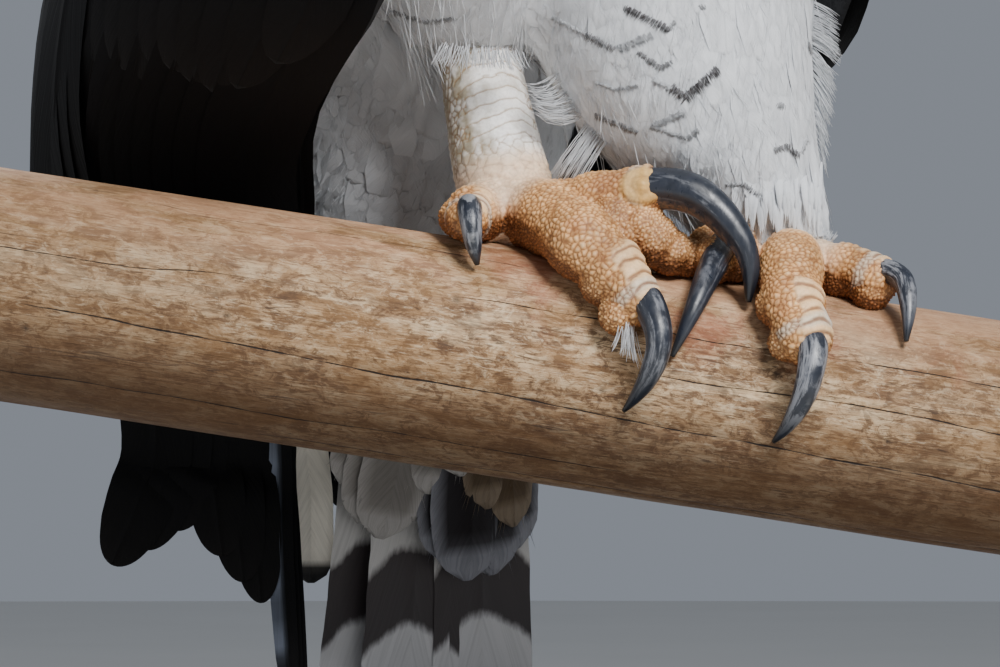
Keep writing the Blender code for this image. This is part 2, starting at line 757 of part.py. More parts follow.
def build_leg(side, parts, cutters, finish, skin, horn, torso_grown, others):
    """One leg: tarsus, foot with four toes, talons, and the feathered thigh."""
    loft("tarsus_" + side, tarsus_rings(side), skin, parts)
    tarsus_grown = as_cutter(loft("tarsus_grown_" + side, tarsus_rings(side, GAP), skin, cutters))
    pole_grown = as_cutter(pole_body("pole_grown_" + side, cutters, skin, GAP))

    talon_cutters = []
    for number in (1, 2, 3, 4):
        key = f"{side}_{number}"
        places = np.linspace(0, 1, 2 * len(TALONS[key]) - 1)
        gripping_tube("talon_" + key, TALONS[key], places, 8, horn, parts)
        grown = gripping_tube("talon_grown_" + key, TALONS[key], places, 8, horn, cutters, GAP)
        talon_cutters.append(as_cutter(grown))

    foot = build_foot(side, skin, parts)
    foot_grown = as_cutter(build_foot(side, skin, cutters, SOFT_GAP))
    cut(foot, pole_grown, tarsus_grown, *talon_cutters)

    thigh = build_thigh(side, finish, parts)
    cut(thigh, torso_grown, tarsus_grown, foot_grown, pole_grown, *others)


def build_foot(side, skin, collection, grow=0.0):
    """Palm, toes and pads as one body."""
    name = "foot_grown_" if grow else "foot_"
    along, degrees, rise, radius = PALM[side]
    foot = ball(name + side, on_pole(along, degrees, rise), radius + grow, skin, collection, 10, 7)
    joined = pieces_for("foot_pieces_" + side)
    for number in (1, 2, 3, 4):
        table = TOES[f"{side}_{number}"]
        places = np.linspace(0, 1, len(table) + 2)
        step = np.zeros(len(places))
        if number > 1:
            inner = np.linspace(0, TOE_SCUTES_FROM, len(table) - 1, endpoint=False)
            outer = np.linspace(TOE_SCUTES_FROM, 1, TOE_SCUTE_RINGS)
            places = np.concatenate([inner, outer])
            step = np.array([0.0] * len(inner) + [SCUTE_HEIGHT * (i % 2) for i in range(len(outer))])
        name = f"toe_{side}_{number}"
        gripping_tube(name, table, places, TOE_SIDES, skin, joined, grow, step, domed=True)
    for i, (along, degrees, rise, radius) in enumerate(PADS[side]):
        ball(f"pad_{side}_{i}", on_pole(along, degrees, rise), radius + grow, skin, joined, 8, 5)
    return fuse(foot, joined)


def thigh_ring(side, row, grow=0.0):
    x, y, up, half_width, half_depth = row
    centre = FEET + np.array([x, y, up])
    wide = np.array([1.0, 0.0, 0.0]) * (half_width + grow)
    return ellipse(centre, wide, TOWARDS * (half_depth + grow), 14)


def thigh_rings(side, grow=0.0):
    """Rings of the feathered thigh."""
    rows = smooth_rows(THIGHS[side], 8)
    return [thigh_ring(side, row, grow) for row in rows]


def build_thigh(side, finish, collection, grow=0.0):
    """The thigh with a fringe of feathers that hang past its lower edge."""
    name = "thigh_grown_" if grow else "thigh_"
    thigh = loft(name + side, thigh_rings(side, grow), finish, collection)
    joined = pieces_for("thigh_pieces_" + side)
    start, end, count, usual = THIGH_FRINGE[side]
    draw = random.Random(SEED)
    rows = np.asarray(THIGHS[side], float)
    table = np.column_stack([np.arange(len(rows)), rows])
    row, below = curve_at(table, start), curve_at(table, end)
    for i in range(count):
        turn = 2 * math.pi * (i + 0.5) / count
        length = usual * (1 + draw.uniform(-LENGTH_VARIATION, LENGTH_VARIATION))
        out = np.array([math.cos(turn), math.sin(turn), 0.0])
        root = FEET + row[:3] + out * row[3:].mean() * 0.78
        low = FEET + below[:3] + out * (below[3] + 0.010)
        lie = unit(low - root)
        points = [root + lie * length * k for k in (0.0, 0.45, 0.8, 1.0)]
        sideways = np.cross(UP, out) + out * VANE_TILT
        widths = np.array([0.010, 0.0135, 0.010, 0.002]) + grow
        thickness = FRINGE_VANE + 2 * grow
        vane(f"fringe_{side}_{i}", points, [sideways] * 4, widths, thickness, finish, joined)
    return fuse(thigh, joined)


def wing_point(side, t, v, lift=0.0):
    """A point of the folded wing's outer surface, in the part's frame."""
    front = curve_at(WING_FRONT, t)
    rear = curve_at(WING_REAR[side], t)
    swell = curve_at(WING_BODY, t)[0]
    if side == "left":
        ease = min(1.0, t / 0.55)
        tuck = ease * ease * (3 - 2 * ease)
        front = front + np.array([*LEFT_WING_TUCK, 0.0]) * tuck
    forward, sideways, up = front * (1 - v) + rear * v
    sideways += swell * 4 * v * (1 - v) + lift
    return bird(forward, sideways if side == "right" else -sideways, up)


def wing_core(side, finish, collection):
    """The wing's body, under its feathers."""
    rings = []
    across = (0.0, 0.12, 0.35, 0.6, 0.85, 1.0)
    for t in WING_CORE_RINGS:
        thickness = curve_at(WING_BODY, t)[1]
        outer = [wing_point(side, t, v, -CORE_DEPTH) for v in across]
        inner = []
        for v in across[::-1]:
            edge = 0.30 + 0.70 * 4 * v * (1 - v)
            inner.append(wing_point(side, t, v, -CORE_DEPTH - thickness * edge))
        rings.append(np.array(outer + inner))
    return loft("wing_" + side, rings, finish, collection)


def build_wing(side, parts, finish, cutters):
    """A folded wing with its feathers in overlapping tiers."""
    wing = wing_core(side, finish, parts)
    joined = pieces_for("wing_pieces_" + side)
    outward = RIGHTWARD if side == "right" else -RIGHTWARD
    for kind, count, root_t, root_v, tip_t, tip_v, width, height, step in WING_TIERS:
        thickness = FLIGHT_VANE if height < 0.004 else COVERT_VANE
        for i in range(count):
            share = i / (count - 1)
            start = np.array([root_t, root_v[0] + (root_v[1] - root_v[0]) * share])
            end = np.array([v[0] + (v[1] - v[0]) * share for v in (tip_t, tip_v)])
            settled = height + step * i
            rooted = min(-ROOT_DEPTH, settled)
            points, across = [], []
            for k, raised in ((0.0, 0.0), (0.35, 0.8), (0.82, 1.0), (1.0, 1.0)):
                t, v = start + (end - start) * k
                lift = rooted + (settled - rooted) * raised
                points.append(wing_point(side, t, v, lift))
                ahead = wing_point(side, t, v - 0.02, lift)
                behind = wing_point(side, t, v + 0.02, lift)
                across.append(unit(behind - ahead) - outward * VANE_TILT)
            halves = width / 2 * np.array([0.55, 1.0, 0.92, 0.36])
            vane(f"{kind}_{side}_{i}", points, across, halves, thickness, finish, joined)
    fuse(wing, joined)
    return cut(wing, *cutters)


def tail_point(side, k, layer):
    """A point of the tail: sideways, along it from root to tip, and behind its front face."""
    forward = TAIL_ROOT[0] + (TAIL_TIP[0] - TAIL_ROOT[0]) * k
    up = TAIL_ROOT[1] + (TAIL_TIP[1] - TAIL_ROOT[1]) * k
    return bird(forward - layer, side, up)


def build_tail(parts, cutters, finish):
    """Twelve overlapping tail feathers and their coverts, above and below, on one root."""
    top = bird(TAIL_ROOT[0], 0, TAIL_ROOT[1])
    rings = []
    for k, half_width, half_depth in TAIL_CORE:
        centre = tail_point(0, k, 0)
        rings.append(ellipse(centre, RIGHTWARD * half_width, FORWARD * half_depth, 18))
    tail = loft("tail", rings, finish, parts)
    joined = pieces_for("tail_pieces")
    steps = np.array([0.06, 0.4, 0.75, 0.94, 1.0])
    for side in (-1, 1):
        for pair in range(TAIL_PAIRS):
            share = (pair + 0.5) / TAIL_PAIRS
            # the middle pair lies behind the others
            layer = (TAIL_PAIRS / 2 - pair) * 2 * TAIL_LAYER + (TAIL_LAYER if side > 0 else 0.0)
            length = 1.0 - 0.035 * share**2
            points, across = [], []
            for k in steps * length:
                spread = TAIL_SPREAD_ROOT + (1 - TAIL_SPREAD_ROOT) * k
                reach = share * spread * (TAIL_HALF_WIDTH_TIP - TAIL_FEATHER_WIDTH / 2 + 0.004)
                settled = layer * min(1.0, k / 0.35)
                points.append(tail_point(side * reach, k, settled))
                across.append(RIGHTWARD + FORWARD * 0.03 * side)
            halves = TAIL_FEATHER_WIDTH / 2 * np.array([0.6, 0.95, 1.0, 0.72, 0.3])
            vane(f"tail_feather_{side}_{pair}", points, across, halves, 0.0009, finish, joined)
    for above in (-1, 1):
        for i in range(TAIL_COVERTS):
            place = i - (TAIL_COVERTS - 1) / 2
            reach = place * 0.0225
            end = 0.40 - 0.03 * abs(place) - (0.04 if above > 0 else 0.0)
            points, across = [], []
            for k in (0.03, 0.42 * end, 0.80 * end, end):
                stand = 0.0085 * (1 - 0.75 * k / end) + 0.0098 * min(1.0, k / 0.2)
                points.append(tail_point(reach * (0.6 + 0.5 * k / end), k, above * stand))
                across.append(RIGHTWARD + FORWARD * VANE_TILT)
            halves = 0.0145 * np.array([0.7, 1.0, 0.85, 0.3])
            vane(f"tail_covert_{above}_{i}", points, across, halves, 0.0011, finish, joined)
    fuse(tail, joined)
    # Nothing of the tail reaches above the torso's lower face
    lid = cylinder("tail_lid", top + UP * LID_HEIGHT / 2, None, 0.12, LID_HEIGHT, 12, finish, cutters)
    return cut(tail, as_cutter(lid))


def head_axes():
    """The head's forward, rightward and up directions."""
    turn = HEADING - HEAD_TURN
    level = np.array([math.sin(turn), -math.cos(turn), 0.0])
    right = np.array([-math.cos(turn), -math.sin(turn), 0.0])
    forward = level * math.cos(HEAD_PITCH) - UP * math.sin(HEAD_PITCH)
    return forward, right, np.cross(right, forward)


def head_point(forward, side, up):
    """A point of the head's frame, in the part's."""
    ahead, right, above = head_axes()
    return bird(*HEAD_CENTRE) + forward * ahead + side * right + up * above


def skull_points():
    """The feathered skull: an egg with brows, cheeks and a full nape, as a grid of rings."""
    ahead, right, above = head_axes()
    bumps = [
        ((0.72, 0.48, 0.50), 0.22, 0.0052),
        ((0.30, 0.80, -0.35), 0.45, 0.0070),
        ((-0.70, 0.35, -0.45), 0.55, 0.0060),
        ((0.60, 0.0, -0.75), 0.40, 0.0040),
    ]
    rings = []
    for polar in np.arange(1, 12) * math.pi / 12:
        ring = []
        for turn in np.arange(18) * 2 * math.pi / 18:
            flat = math.sin(polar)
            way = np.array([math.cos(polar), flat * math.cos(turn), flat * math.sin(turn)])
            grown = 0.0
            for centre, spread, height in bumps:
                mirrored = np.array([way[0], abs(way[1]), way[2]])
                off = np.linalg.norm(mirrored - unit(np.array(centre)))
                grown += height * math.exp(-((off / spread) ** 2))
            spot = way * (np.array(SKULL) + grown)
            ring.append(head_point(*spot))
        rings.append(np.array(ring))
    return rings


def bill_rings(table, grow=0.0):
    """Rings of a half of the bill, square to its curve."""
    rows = smooth_rows(table, 2 * len(table) - 1)
    centres = np.array([head_point(row[0], 0, row[1]) for row in rows])
    tangents = np.gradient(centres, axis=0)
    right = head_axes()[1]
    rings = []
    for centre, tangent, row in zip(centres, tangents, rows):
        upward = unit(np.cross(right, unit(tangent)))
        rings.append(ellipse(centre, right * (row[2] + grow), upward * (row[3] + grow), 10))
    return rings


def build_head(parts, cutters, grey, dark, horn, glass, neck_grown):
    """Head with brows, lids, ruff and crest, the two halves of the bill, and the eyes."""
    head = loft("head", skull_points(), grey, parts)
    joined = pieces_for("head_pieces")
    ahead, right, above = head_axes()
    eye_cutters = []
    for name, sign in (("right", 1), ("left", -1)):
        centre = head_point(EYE[0], EYE[1] * sign, EYE[2])
        look = unit(ahead * EYE_LOOK[0] + right * sign * EYE_LOOK[1])
        ball("eye_" + name, centre, EYE_RADIUS, glass, parts, 10, 6)
        grown = ball("eye_grown_" + name, centre, EYE_RADIUS + 2 * GAP, glass, cutters, 10, 6)
        eye_cutters.append(as_cutter(grown))
        first = unit(np.cross(look, above))
        second = np.cross(first, look)
        middle = centre + look * LID_AHEAD
        ring("lid_" + name, middle, (first, second, look), LID_RING, LID_RADIUS, grey, joined)
        brow = smooth_rows(BROW, 6)
        path = np.array([head_point(f, s * sign, u) for f, s, u, _ in brow])
        loft("brow_" + name, tube_rings(path, brow[:, 3], 6), grey, joined)

        for i, (forward, side, up, length, lean, splay) in enumerate(CREST):
            root = head_point(forward, side * sign, up - 0.004)
            back, out = math.radians(lean), math.radians(splay)
            points, across = [], []
            for k in (0.0, 0.35, 0.7, 1.0):
                bend = back + 0.35 * k
                way = -ahead * math.sin(bend) + above * math.cos(bend) + right * sign * math.sin(out) * 0.8
                points.append(root + unit(way) * length * k)
                across.append(right * math.cos(out) - above * math.sin(out) * sign * 0.4)
            halves = CREST_WIDTH / 2 * np.array([0.5, 0.85, 1.0, 0.45])
            vane(f"crest_{name}_{i}", points, across, halves, 0.0011, dark, joined)
        for i in range(RUFF_COUNT):
            turn = math.radians(-62 + 128 * i / (RUFF_COUNT - 1))
            out = right * sign * math.cos(turn) + above * math.sin(turn)
            root = head_point(-0.004, 0, -0.002) + out * 0.048
            points = [root + (out * 0.42 - ahead * 0.9) * RUFF_LENGTH * k for k in (0.0, 0.7, 1.0)]
            sideways = unit(np.cross(out, ahead)) + out * VANE_TILT
            halves = [0.005, 0.0066, 0.002]
            vane(f"ruff_{name}_{i}", points, [sideways] * 3, halves, 0.0011, grey, joined)
    fuse(head, joined)

    upper = loft("bill_upper", bill_rings(UPPER_BILL), horn, parts)
    lower = loft("bill_lower", bill_rings(LOWER_BILL), horn, parts)
    upper_grown = as_cutter(loft("upper_grown", bill_rings(UPPER_BILL, SOFT_GAP), horn, cutters))
    lower_grown = as_cutter(loft("lower_grown", bill_rings(LOWER_BILL, SOFT_GAP), horn, cutters))
    cut(lower, upper_grown)
    for sign in (-1, 1):
        forward, side, up, radius = NOSTRIL
        hole = ball("nostril", head_point(forward, side * sign, up), radius, horn, cutters, 8, 5)
        cut(upper, as_cutter(hole))
        rear = head_point(GAPE_REAR[0], GAPE_REAR[1] * sign, GAPE_REAR[2])
        front = head_point(GAPE_FRONT[0], GAPE_FRONT[1] * sign, GAPE_FRONT[2])
        along = unit(front - rear)
        out = unit(np.cross(along, above)) * sign
        sizes = (np.linalg.norm(front - rear), GAPE_REACH, GAPE_HEIGHT)
        middle = (rear + front) / 2 + out * GAPE_REACH / 2
        axes = (along, out, np.cross(along, out))
        cut(head, as_cutter(block("mouth_line", middle, axes, sizes, horn, cutters)))
    cut(head, neck_grown, upper_grown, lower_grown, *eye_cutters)
    return head


def shade(parts):
    """Shades every piece smooth with sharp edges kept."""
    for obj in parts.objects:
        obj.data.shade_smooth()
        obj.data.set_sharp_from_angle(angle=math.radians(40))


def main():
    for obj in list(bpy.data.objects):
        bpy.data.objects.remove(obj)
    parts = pieces_for("harpy_eagle")
    cutters = pieces_for("cutters")

    wood = material("perch_wood", (0.42, 0.28, 0.16), 0.75)
    steel = material("stand_black", (0.03, 0.03, 0.03), 0.45)
    white = material("white_plumage", (0.86, 0.87, 0.88), 0.85)
    grey = material("grey_plumage", (0.42, 0.42, 0.43), 0.85)
    slate = material("slate_plumage", (0.03, 0.03, 0.035), 0.7)
    banded = material("tail_plumage", (0.25, 0.24, 0.23), 0.75)
    skin = material("leg_skin", (0.72, 0.45, 0.22), 0.6)
    horn = material("black_horn", (0.05, 0.055, 0.07), 0.3)
    glass = material("eye_glass", (0.10, 0.07, 0.06), 0.05)

    build_stand(parts, cutters, steel)
    pole_body("perch", parts, wood)
    torso_grown, neck_grown = build_trunk(parts, cutters, white, grey)

    build_leg("right", parts, cutters, white, skin, horn, torso_grown, [])
    right_thigh_grown = as_cutter(build_thigh("right", white, cutters, SOFT_GAP))
    build_leg("left", parts, cutters, white, skin, horn, torso_grown, [right_thigh_grown])
    left_thigh_grown = as_cutter(build_thigh("left", white, cutters, SOFT_GAP))

    pole_grown = as_cutter(pole_body("pole_grown_wings", cutters, white, GAP))
    against_wings = [torso_grown, neck_grown, right_thigh_grown, left_thigh_grown, pole_grown]
    build_wing("right", parts, slate, against_wings)
    build_wing("left", parts, slate, against_wings)

    build_tail(parts, cutters, banded)
    build_head(parts, cutters, grey, slate, horn, glass, neck_grown)
    shade(parts)


if __name__ == "__main__":
    main()
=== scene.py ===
"""Looks of a harpy eagle that grips a cut length of pole on a display stand.

Metres, +Z up. The viewer stands at -Y, the pole runs along X and slopes down towards +X, and the bird
faces the viewer, turned towards +X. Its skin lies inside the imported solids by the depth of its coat.
"""

import math

import bmesh
import bpy
import numpy as np
from mathutils import Matrix, Vector
from mathutils.bvhtree import BVHTree
from mathutils.kdtree import KDTree


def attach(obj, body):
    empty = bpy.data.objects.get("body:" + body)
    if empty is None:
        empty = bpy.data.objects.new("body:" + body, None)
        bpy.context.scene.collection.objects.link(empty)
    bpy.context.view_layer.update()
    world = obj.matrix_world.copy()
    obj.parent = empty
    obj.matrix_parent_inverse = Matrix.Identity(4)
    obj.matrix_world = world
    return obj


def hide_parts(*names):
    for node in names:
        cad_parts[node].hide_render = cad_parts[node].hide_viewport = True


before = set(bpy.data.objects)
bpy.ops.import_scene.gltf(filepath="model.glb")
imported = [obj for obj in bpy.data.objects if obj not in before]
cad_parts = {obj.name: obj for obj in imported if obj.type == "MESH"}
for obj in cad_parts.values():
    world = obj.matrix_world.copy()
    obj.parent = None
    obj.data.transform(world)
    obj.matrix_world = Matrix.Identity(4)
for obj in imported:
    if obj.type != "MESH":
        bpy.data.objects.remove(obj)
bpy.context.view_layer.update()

# Camera: level, square to the pole, with the photograph's frame on the pole's own plane
VIEW_WIDTH = 0.385
VIEW_HEIGHT = 0.3106
VIEW_DISTANCE = 3.0
VIEW_PIXELS = 1000
VIEW_MIDDLE = (500, 333.5)
PIXEL = 0.000385  # on the pole's plane
SENSOR = 36.0

# The same driving sizes as the solids have
POLE_RADIUS = 0.045
POLE_LENGTH = 0.50
POLE_SLOPE = math.radians(8.75)
POLE_HEIGHT = 0.300
POLE_Y = -0.060
FEET_X = 0.054
HEADING = math.radians(35)
HEAD_TURN = math.radians(14)
HEAD_PITCH = math.radians(5)
COAT_DEPTH = 0.006  # from the solids' surface to the skin
THIGH_COAT_DEPTH = 0.0042
HEAD_COAT_DEPTH = 0.0035
WING_COAT_DEPTH = 0.0045
SKIN_VOXEL, SKIN_VOXEL_QUICK = 0.0038, 0.0055
LEG_VOXEL, LEG_VOXEL_QUICK = 0.00056, 0.0011
NECK_FROM = 0.40  # above the feet
# From the head's middle: how far its thinner coat's skin reaches, and where its and the neck's feathers end
HEAD_SKIN_END = 0.085
HEAD_COAT_END = 0.078
TRUNK_COAT_END = 0.072
DARK_SHADE = 0.30  # skin at least as dark as this grows dark feathers
PATCH = 0.003  # of the bake map, for each feather

UP = np.array([0.0, 0.0, 1.0])
TOWARDS = np.array([0.0, -1.0, 0.0])
AXIS = np.array([math.cos(POLE_SLOPE), 0.0, -math.sin(POLE_SLOPE)])
OUT = np.array([math.sin(POLE_SLOPE), 0.0, math.cos(POLE_SLOPE)])
POLE_MIDDLE = np.array([0.0, POLE_Y, POLE_HEIGHT])
FEET = np.array(
    [FEET_X, POLE_Y, POLE_HEIGHT + POLE_RADIUS / math.cos(POLE_SLOPE) - FEET_X * math.tan(POLE_SLOPE)]
)
FORWARD = np.array([math.sin(HEADING), -math.cos(HEADING), 0.0])
RIGHTWARD = np.array([-math.cos(HEADING), -math.sin(HEADING), 0.0])
HEAD_CENTRE = (0.016, 0.0, 0.525)

# Colours, as seen on a screen, 0 to 255
WHITE = (235, 238, 242)
BAR = (58, 54, 56)
SLATE = (26, 28, 33)
WING_BLACK = (10, 10, 13)
GREY = (140, 141, 146)
DARK_GREY = (74, 76, 82)

# Legs, in the pole's terms: along it, degrees from its top towards the viewer, height above, radius
TARSUS = {
    "right": [
        (-0.0062, -10.0, 0.0120, 0.0200), (-0.0088, -10.5, 0.0235, 0.0188),
        (-0.0137, -11.5, 0.0361, 0.0180), (-0.0245, -14.5, 0.0687, 0.0160),
        (-0.0330, -18.0, 0.0930, 0.0165), (-0.0360, -20.0, 0.1080, 0.0175),
    ],
    "left": [
        (0.1040, -9.0, 0.0085, 0.0130), (0.0970, -10.5, 0.0210, 0.0112),
        (0.0900, -12.0, 0.0380, 0.0125), (0.0820, -15.0, 0.0680, 0.0135),
        (0.0730, -19.0, 0.0900, 0.0150), (0.0700, -20.0, 0.1040, 0.0160),
    ],
}
PALM = {"right": (-0.0020, -4.0, 0.0135, 0.0165), "left": (0.1056, -3.0, 0.0088, 0.0128)}
TOES = {
    "right_1": [
        (-0.0040, -14.0, 0.0135, 0.0150), (0.0000, -34.0, 0.0130, 0.0135),
        (0.0040, -52.0, 0.0125, 0.0125), (0.0060, -68.0, 0.0125, 0.0115),
    ],
    "right_2": [
        (0.0030, -2.0, 0.0120, 0.0140), (0.0138, 1.8, 0.0150, 0.0128),
        (0.0285, 10.2, 0.0227, 0.0112), (0.0440, 15.4, 0.0300, 0.0098),
    ],
    "right_3": [
        (0.0000, -3.0, 0.0128, 0.0148), (0.0110, 12.0, 0.0128, 0.0142),
        (0.0250, 33.4, 0.0135, 0.0140), (0.0380, 45.5, 0.0125, 0.0120),
        (0.0472, 56.6, 0.0115, 0.0096),
    ],
    "right_4": [
        (-0.0060, -6.0, 0.0125, 0.0140), (-0.0150, 4.0, 0.0111, 0.0118),
        (-0.0190, 13.0, 0.0105, 0.0106), (-0.0204, 21.0, 0.0106, 0.0086),
    ],
    "left_1": [
        (0.1040, -14.0, 0.0100, 0.0130), (0.1000, -34.0, 0.0120, 0.0128),
        (0.0970, -52.0, 0.0125, 0.0125), (0.0955, -68.0, 0.0125, 0.0115),
    ],
    "left_2": [
        (0.1030, -5.0, 0.0100, 0.0125), (0.0975, -4.0, 0.0140, 0.0108),
        (0.0887, -1.2, 0.0200, 0.0100), (0.0817, 5.8, 0.0146, 0.0088),
    ],
    "left_3": [
        (0.1052, -2.0, 0.0095, 0.0125), (0.1045, 12.0, 0.0112, 0.0122),
        (0.1044, 29.3, 0.0125, 0.0124), (0.1069, 47.8, 0.0118, 0.0118),
        (0.1121, 61.0, 0.0115, 0.0108),
    ],
    "left_4": [
        (0.1075, -5.0, 0.0090, 0.0120), (0.1160, -2.0, 0.0092, 0.0108),
        (0.1257, 4.2, 0.0093, 0.0108), (0.1362, 13.0, 0.0090, 0.0098),
    ],
}
TALONS = {
    "right_1": [
        (0.0058, -64.0, 0.0130, 0.0086), (0.0068, -76.0, 0.0165, 0.0086),
        (0.0078, -92.0, 0.0190, 0.0076), (0.0080, -110.0, 0.0165, 0.0060),
        (0.0076, -128.0, 0.0105, 0.0038), (0.0070, -143.0, 0.0042, 0.0011),
    ],
    "right_2": [
        (0.0425, 15.0, 0.0300, 0.0076), (0.0493, 16.7, 0.0320, 0.0083),
        (0.0580, 18.6, 0.0334, 0.0083), (0.0655, 20.4, 0.0326, 0.0079),
        (0.0731, 23.0, 0.0294, 0.0071), (0.0801, 26.3, 0.0248, 0.0061),
        (0.0857, 30.1, 0.0198, 0.0049), (0.0889, 34.7, 0.0130, 0.0036),
        (0.0899, 41.8, 0.0042, 0.0012),
    ],
    "right_3": [
        (0.0475, 54.5, 0.0120, 0.0060), (0.0520, 60.1, 0.0145, 0.0068),
        (0.0577, 74.2, 0.0170, 0.0056), (0.0560, 86.9, 0.0128, 0.0044),
        (0.0492, 103.3, 0.0034, 0.0010),
    ],
    "right_4": [
        (-0.0208, 20.0, 0.0140, 0.0044), (-0.0203, 25.6, 0.0172, 0.0050),
        (-0.0189, 33.2, 0.0156, 0.0046), (-0.0166, 39.6, 0.0098, 0.0034),
        (-0.0142, 43.0, 0.0030, 0.0010),
    ],
    "left_1": [
        (0.0957, -64.0, 0.0130, 0.0086), (0.0947, -76.0, 0.0165, 0.0086),
        (0.0937, -92.0, 0.0190, 0.0076), (0.0935, -110.0, 0.0165, 0.0060),
        (0.0939, -128.0, 0.0105, 0.0038), (0.0945, -143.0, 0.0042, 0.0011),
    ],
    "left_2": [
        (0.0822, 5.0, 0.0150, 0.0062), (0.0785, 12.0, 0.0125, 0.0068),
        (0.0748, 30.0, 0.0098, 0.0060), (0.0705, 52.0, 0.0088, 0.0044),
        (0.0642, 76.1, 0.0036, 0.0010),
    ],
    "left_3": [
        (0.1115, 59.0, 0.0125, 0.0058), (0.1154, 66.9, 0.0155, 0.0064),
        (0.1159, 78.7, 0.0180, 0.0056), (0.1142, 88.3, 0.0150, 0.0046),
        (0.1111, 97.2, 0.0100, 0.0030), (0.1071, 106.6, 0.0040, 0.0010),
    ],
    "left_4": [
        (0.1360, 12.5, 0.0110, 0.0044), (0.1410, 16.8, 0.0136, 0.0050),
        (0.1475, 24.5, 0.0134, 0.0045), (0.1505, 36.9, 0.0088, 0.0033),
        (0.1514, 50.2, 0.0034, 0.0010),
    ],
}
PADS = {
    "right": [
        (0.0345, 48.0, 0.0085, 0.0098), (0.0415, 63.0, 0.0085, 0.0078),
        (0.0270, 18.0, 0.0130, 0.0110), (0.0350, 18.0, 0.0180, 0.0116),
        (0.0400, 20.0, 0.0140, 0.0112), (0.0450, 19.5, 0.0175, 0.0108),
        (0.0505, 21.0, 0.0135, 0.0106), (0.0580, 20.0, 0.0095, 0.0092),
        (0.0645, 17.0, 0.0075, 0.0076),
        (-0.0240, 15.0, 0.0088, 0.0080),
    ],
    "left": [
        (0.1010, 46.0, 0.0085, 0.0088), (0.1060, 64.0, 0.0084, 0.0072),
        (0.0722, 8.0, 0.0110, 0.0084), (0.0750, 19.0, 0.0085, 0.0094),
        (0.0830, 12.0, 0.0100, 0.0104), (0.1365, 16.0, 0.0052, 0.0082),
    ],
}
ROLLED = (0.015, 0.012, 0.016, 0.008)  # how far back from the talon each toe's rolls reach
THIGHS = {
    "right": [
        (-0.066, 0.034, 0.240, 0.044, 0.046), (-0.070, 0.022, 0.195, 0.058, 0.058),
        (-0.070, 0.020, 0.150, 0.056, 0.054), (-0.067, 0.026, 0.118, 0.045, 0.043),
        (-0.065, 0.033, 0.096, 0.033, 0.032), (-0.066, 0.038, 0.083, 0.025, 0.026),
    ],
    "left": [
        (0.004, 0.076, 0.230, 0.044, 0.046), (0.008, 0.056, 0.180, 0.058, 0.058),
        (0.011, 0.038, 0.125, 0.058, 0.058), (0.014, 0.027, 0.080, 0.054, 0.053),
        (0.026, 0.024, 0.045, 0.044, 0.045), (0.043, 0.021, 0.020, 0.031, 0.033),
        (0.050, 0.017, 0.004, 0.0245, 0.028),
    ],
}

# Wings: front and rear edge at each t, as (t, forward, sideways, up), and (t, swell, thickness)
WING_FRONT = [
    (0.00, 0.036, 0.074, 0.394), (0.05, 0.054, 0.090, 0.370), (0.15, 0.066, 0.112, 0.310),
    (0.35, 0.052, 0.130, 0.210), (0.54, 0.006, 0.130, 0.106), (0.68, -0.096, 0.104, 0.036),
    (0.75, -0.112, 0.086, -0.006), (0.87, -0.124, 0.074, -0.080), (1.00, -0.136, 0.072, -0.190),
]
WING_REAR = {
    "right": [
        (0.00, -0.022, 0.060, 0.402), (0.05, -0.074, 0.064, 0.386), (0.15, -0.132, 0.066, 0.345),
        (0.35, -0.168, 0.096, 0.225), (0.55, -0.194, 0.140, 0.110), (0.70, -0.194, 0.143, 0.020),
        (0.87, -0.188, 0.120, -0.080), (1.00, -0.154, 0.084, -0.190),
    ],
    "left": [
        (0.00, -0.022, 0.060, 0.402), (0.05, -0.076, 0.060, 0.386), (0.15, -0.138, 0.056, 0.345),
        (0.35, -0.176, 0.058, 0.225), (0.55, -0.204, 0.072, 0.110), (0.70, -0.216, 0.078, 0.020),
        (0.87, -0.212, 0.076, -0.080), (1.00, -0.190, 0.072, -0.190),
    ],
}
WING_BODY = [
    (0.00, 0.010, 0.020), (0.05, 0.024, 0.034), (0.20, 0.038, 0.050), (0.45, 0.034, 0.038),
    (0.60, 0.026, 0.018), (0.70, 0.018, 0.007), (1.00, 0.006, 0.004),
]
LEFT_WING_TUCK = (-0.040, -0.006)
ROOT_LIFT = -0.0062  # where roots of wing feathers lie, inside the skin
# Left wing's flight feathers below the wrist, front to rear: where each ends, as (t, v)
PRIMARY_TIPS = [
    (1.000, 0.22), (0.985, 0.24), (0.965, 0.28), (0.938, 0.36), (0.932, 0.46), (0.926, 0.56),
    (0.917, 0.70), (0.914, 0.82), (0.905, 0.92), (0.893, 1.00),
]
# Right wing's tips in the view's 1000 by 667 frame: v at the root, places, width
NARROW_TIPS = [
    (0.03, ((284, 436), (288, 540), (295, 640), (303, 752)), 0.0105),
    (0.09, ((282, 436), (284, 540), (290, 640), (297, 735)), 0.0110),
    (0.14, ((278, 436), (280, 540), (286, 640), (292, 715)), 0.0110),
]
TIPS_SEEN = [
    (0.20, ((243, 436), (254, 520), (262, 603)), 0.024), (0.28, ((226, 436), (236, 508), (244, 582)), 0.026),
    (0.36, ((207, 436), (216, 498), (223, 556)), 0.026), (0.42, ((194, 432), (186, 480), (171, 530)), 0.028),
    (0.50, ((176, 432), (162, 490), (141, 549)), 0.030), (0.58, ((157, 432), (140, 500), (112, 565)), 0.030),
]
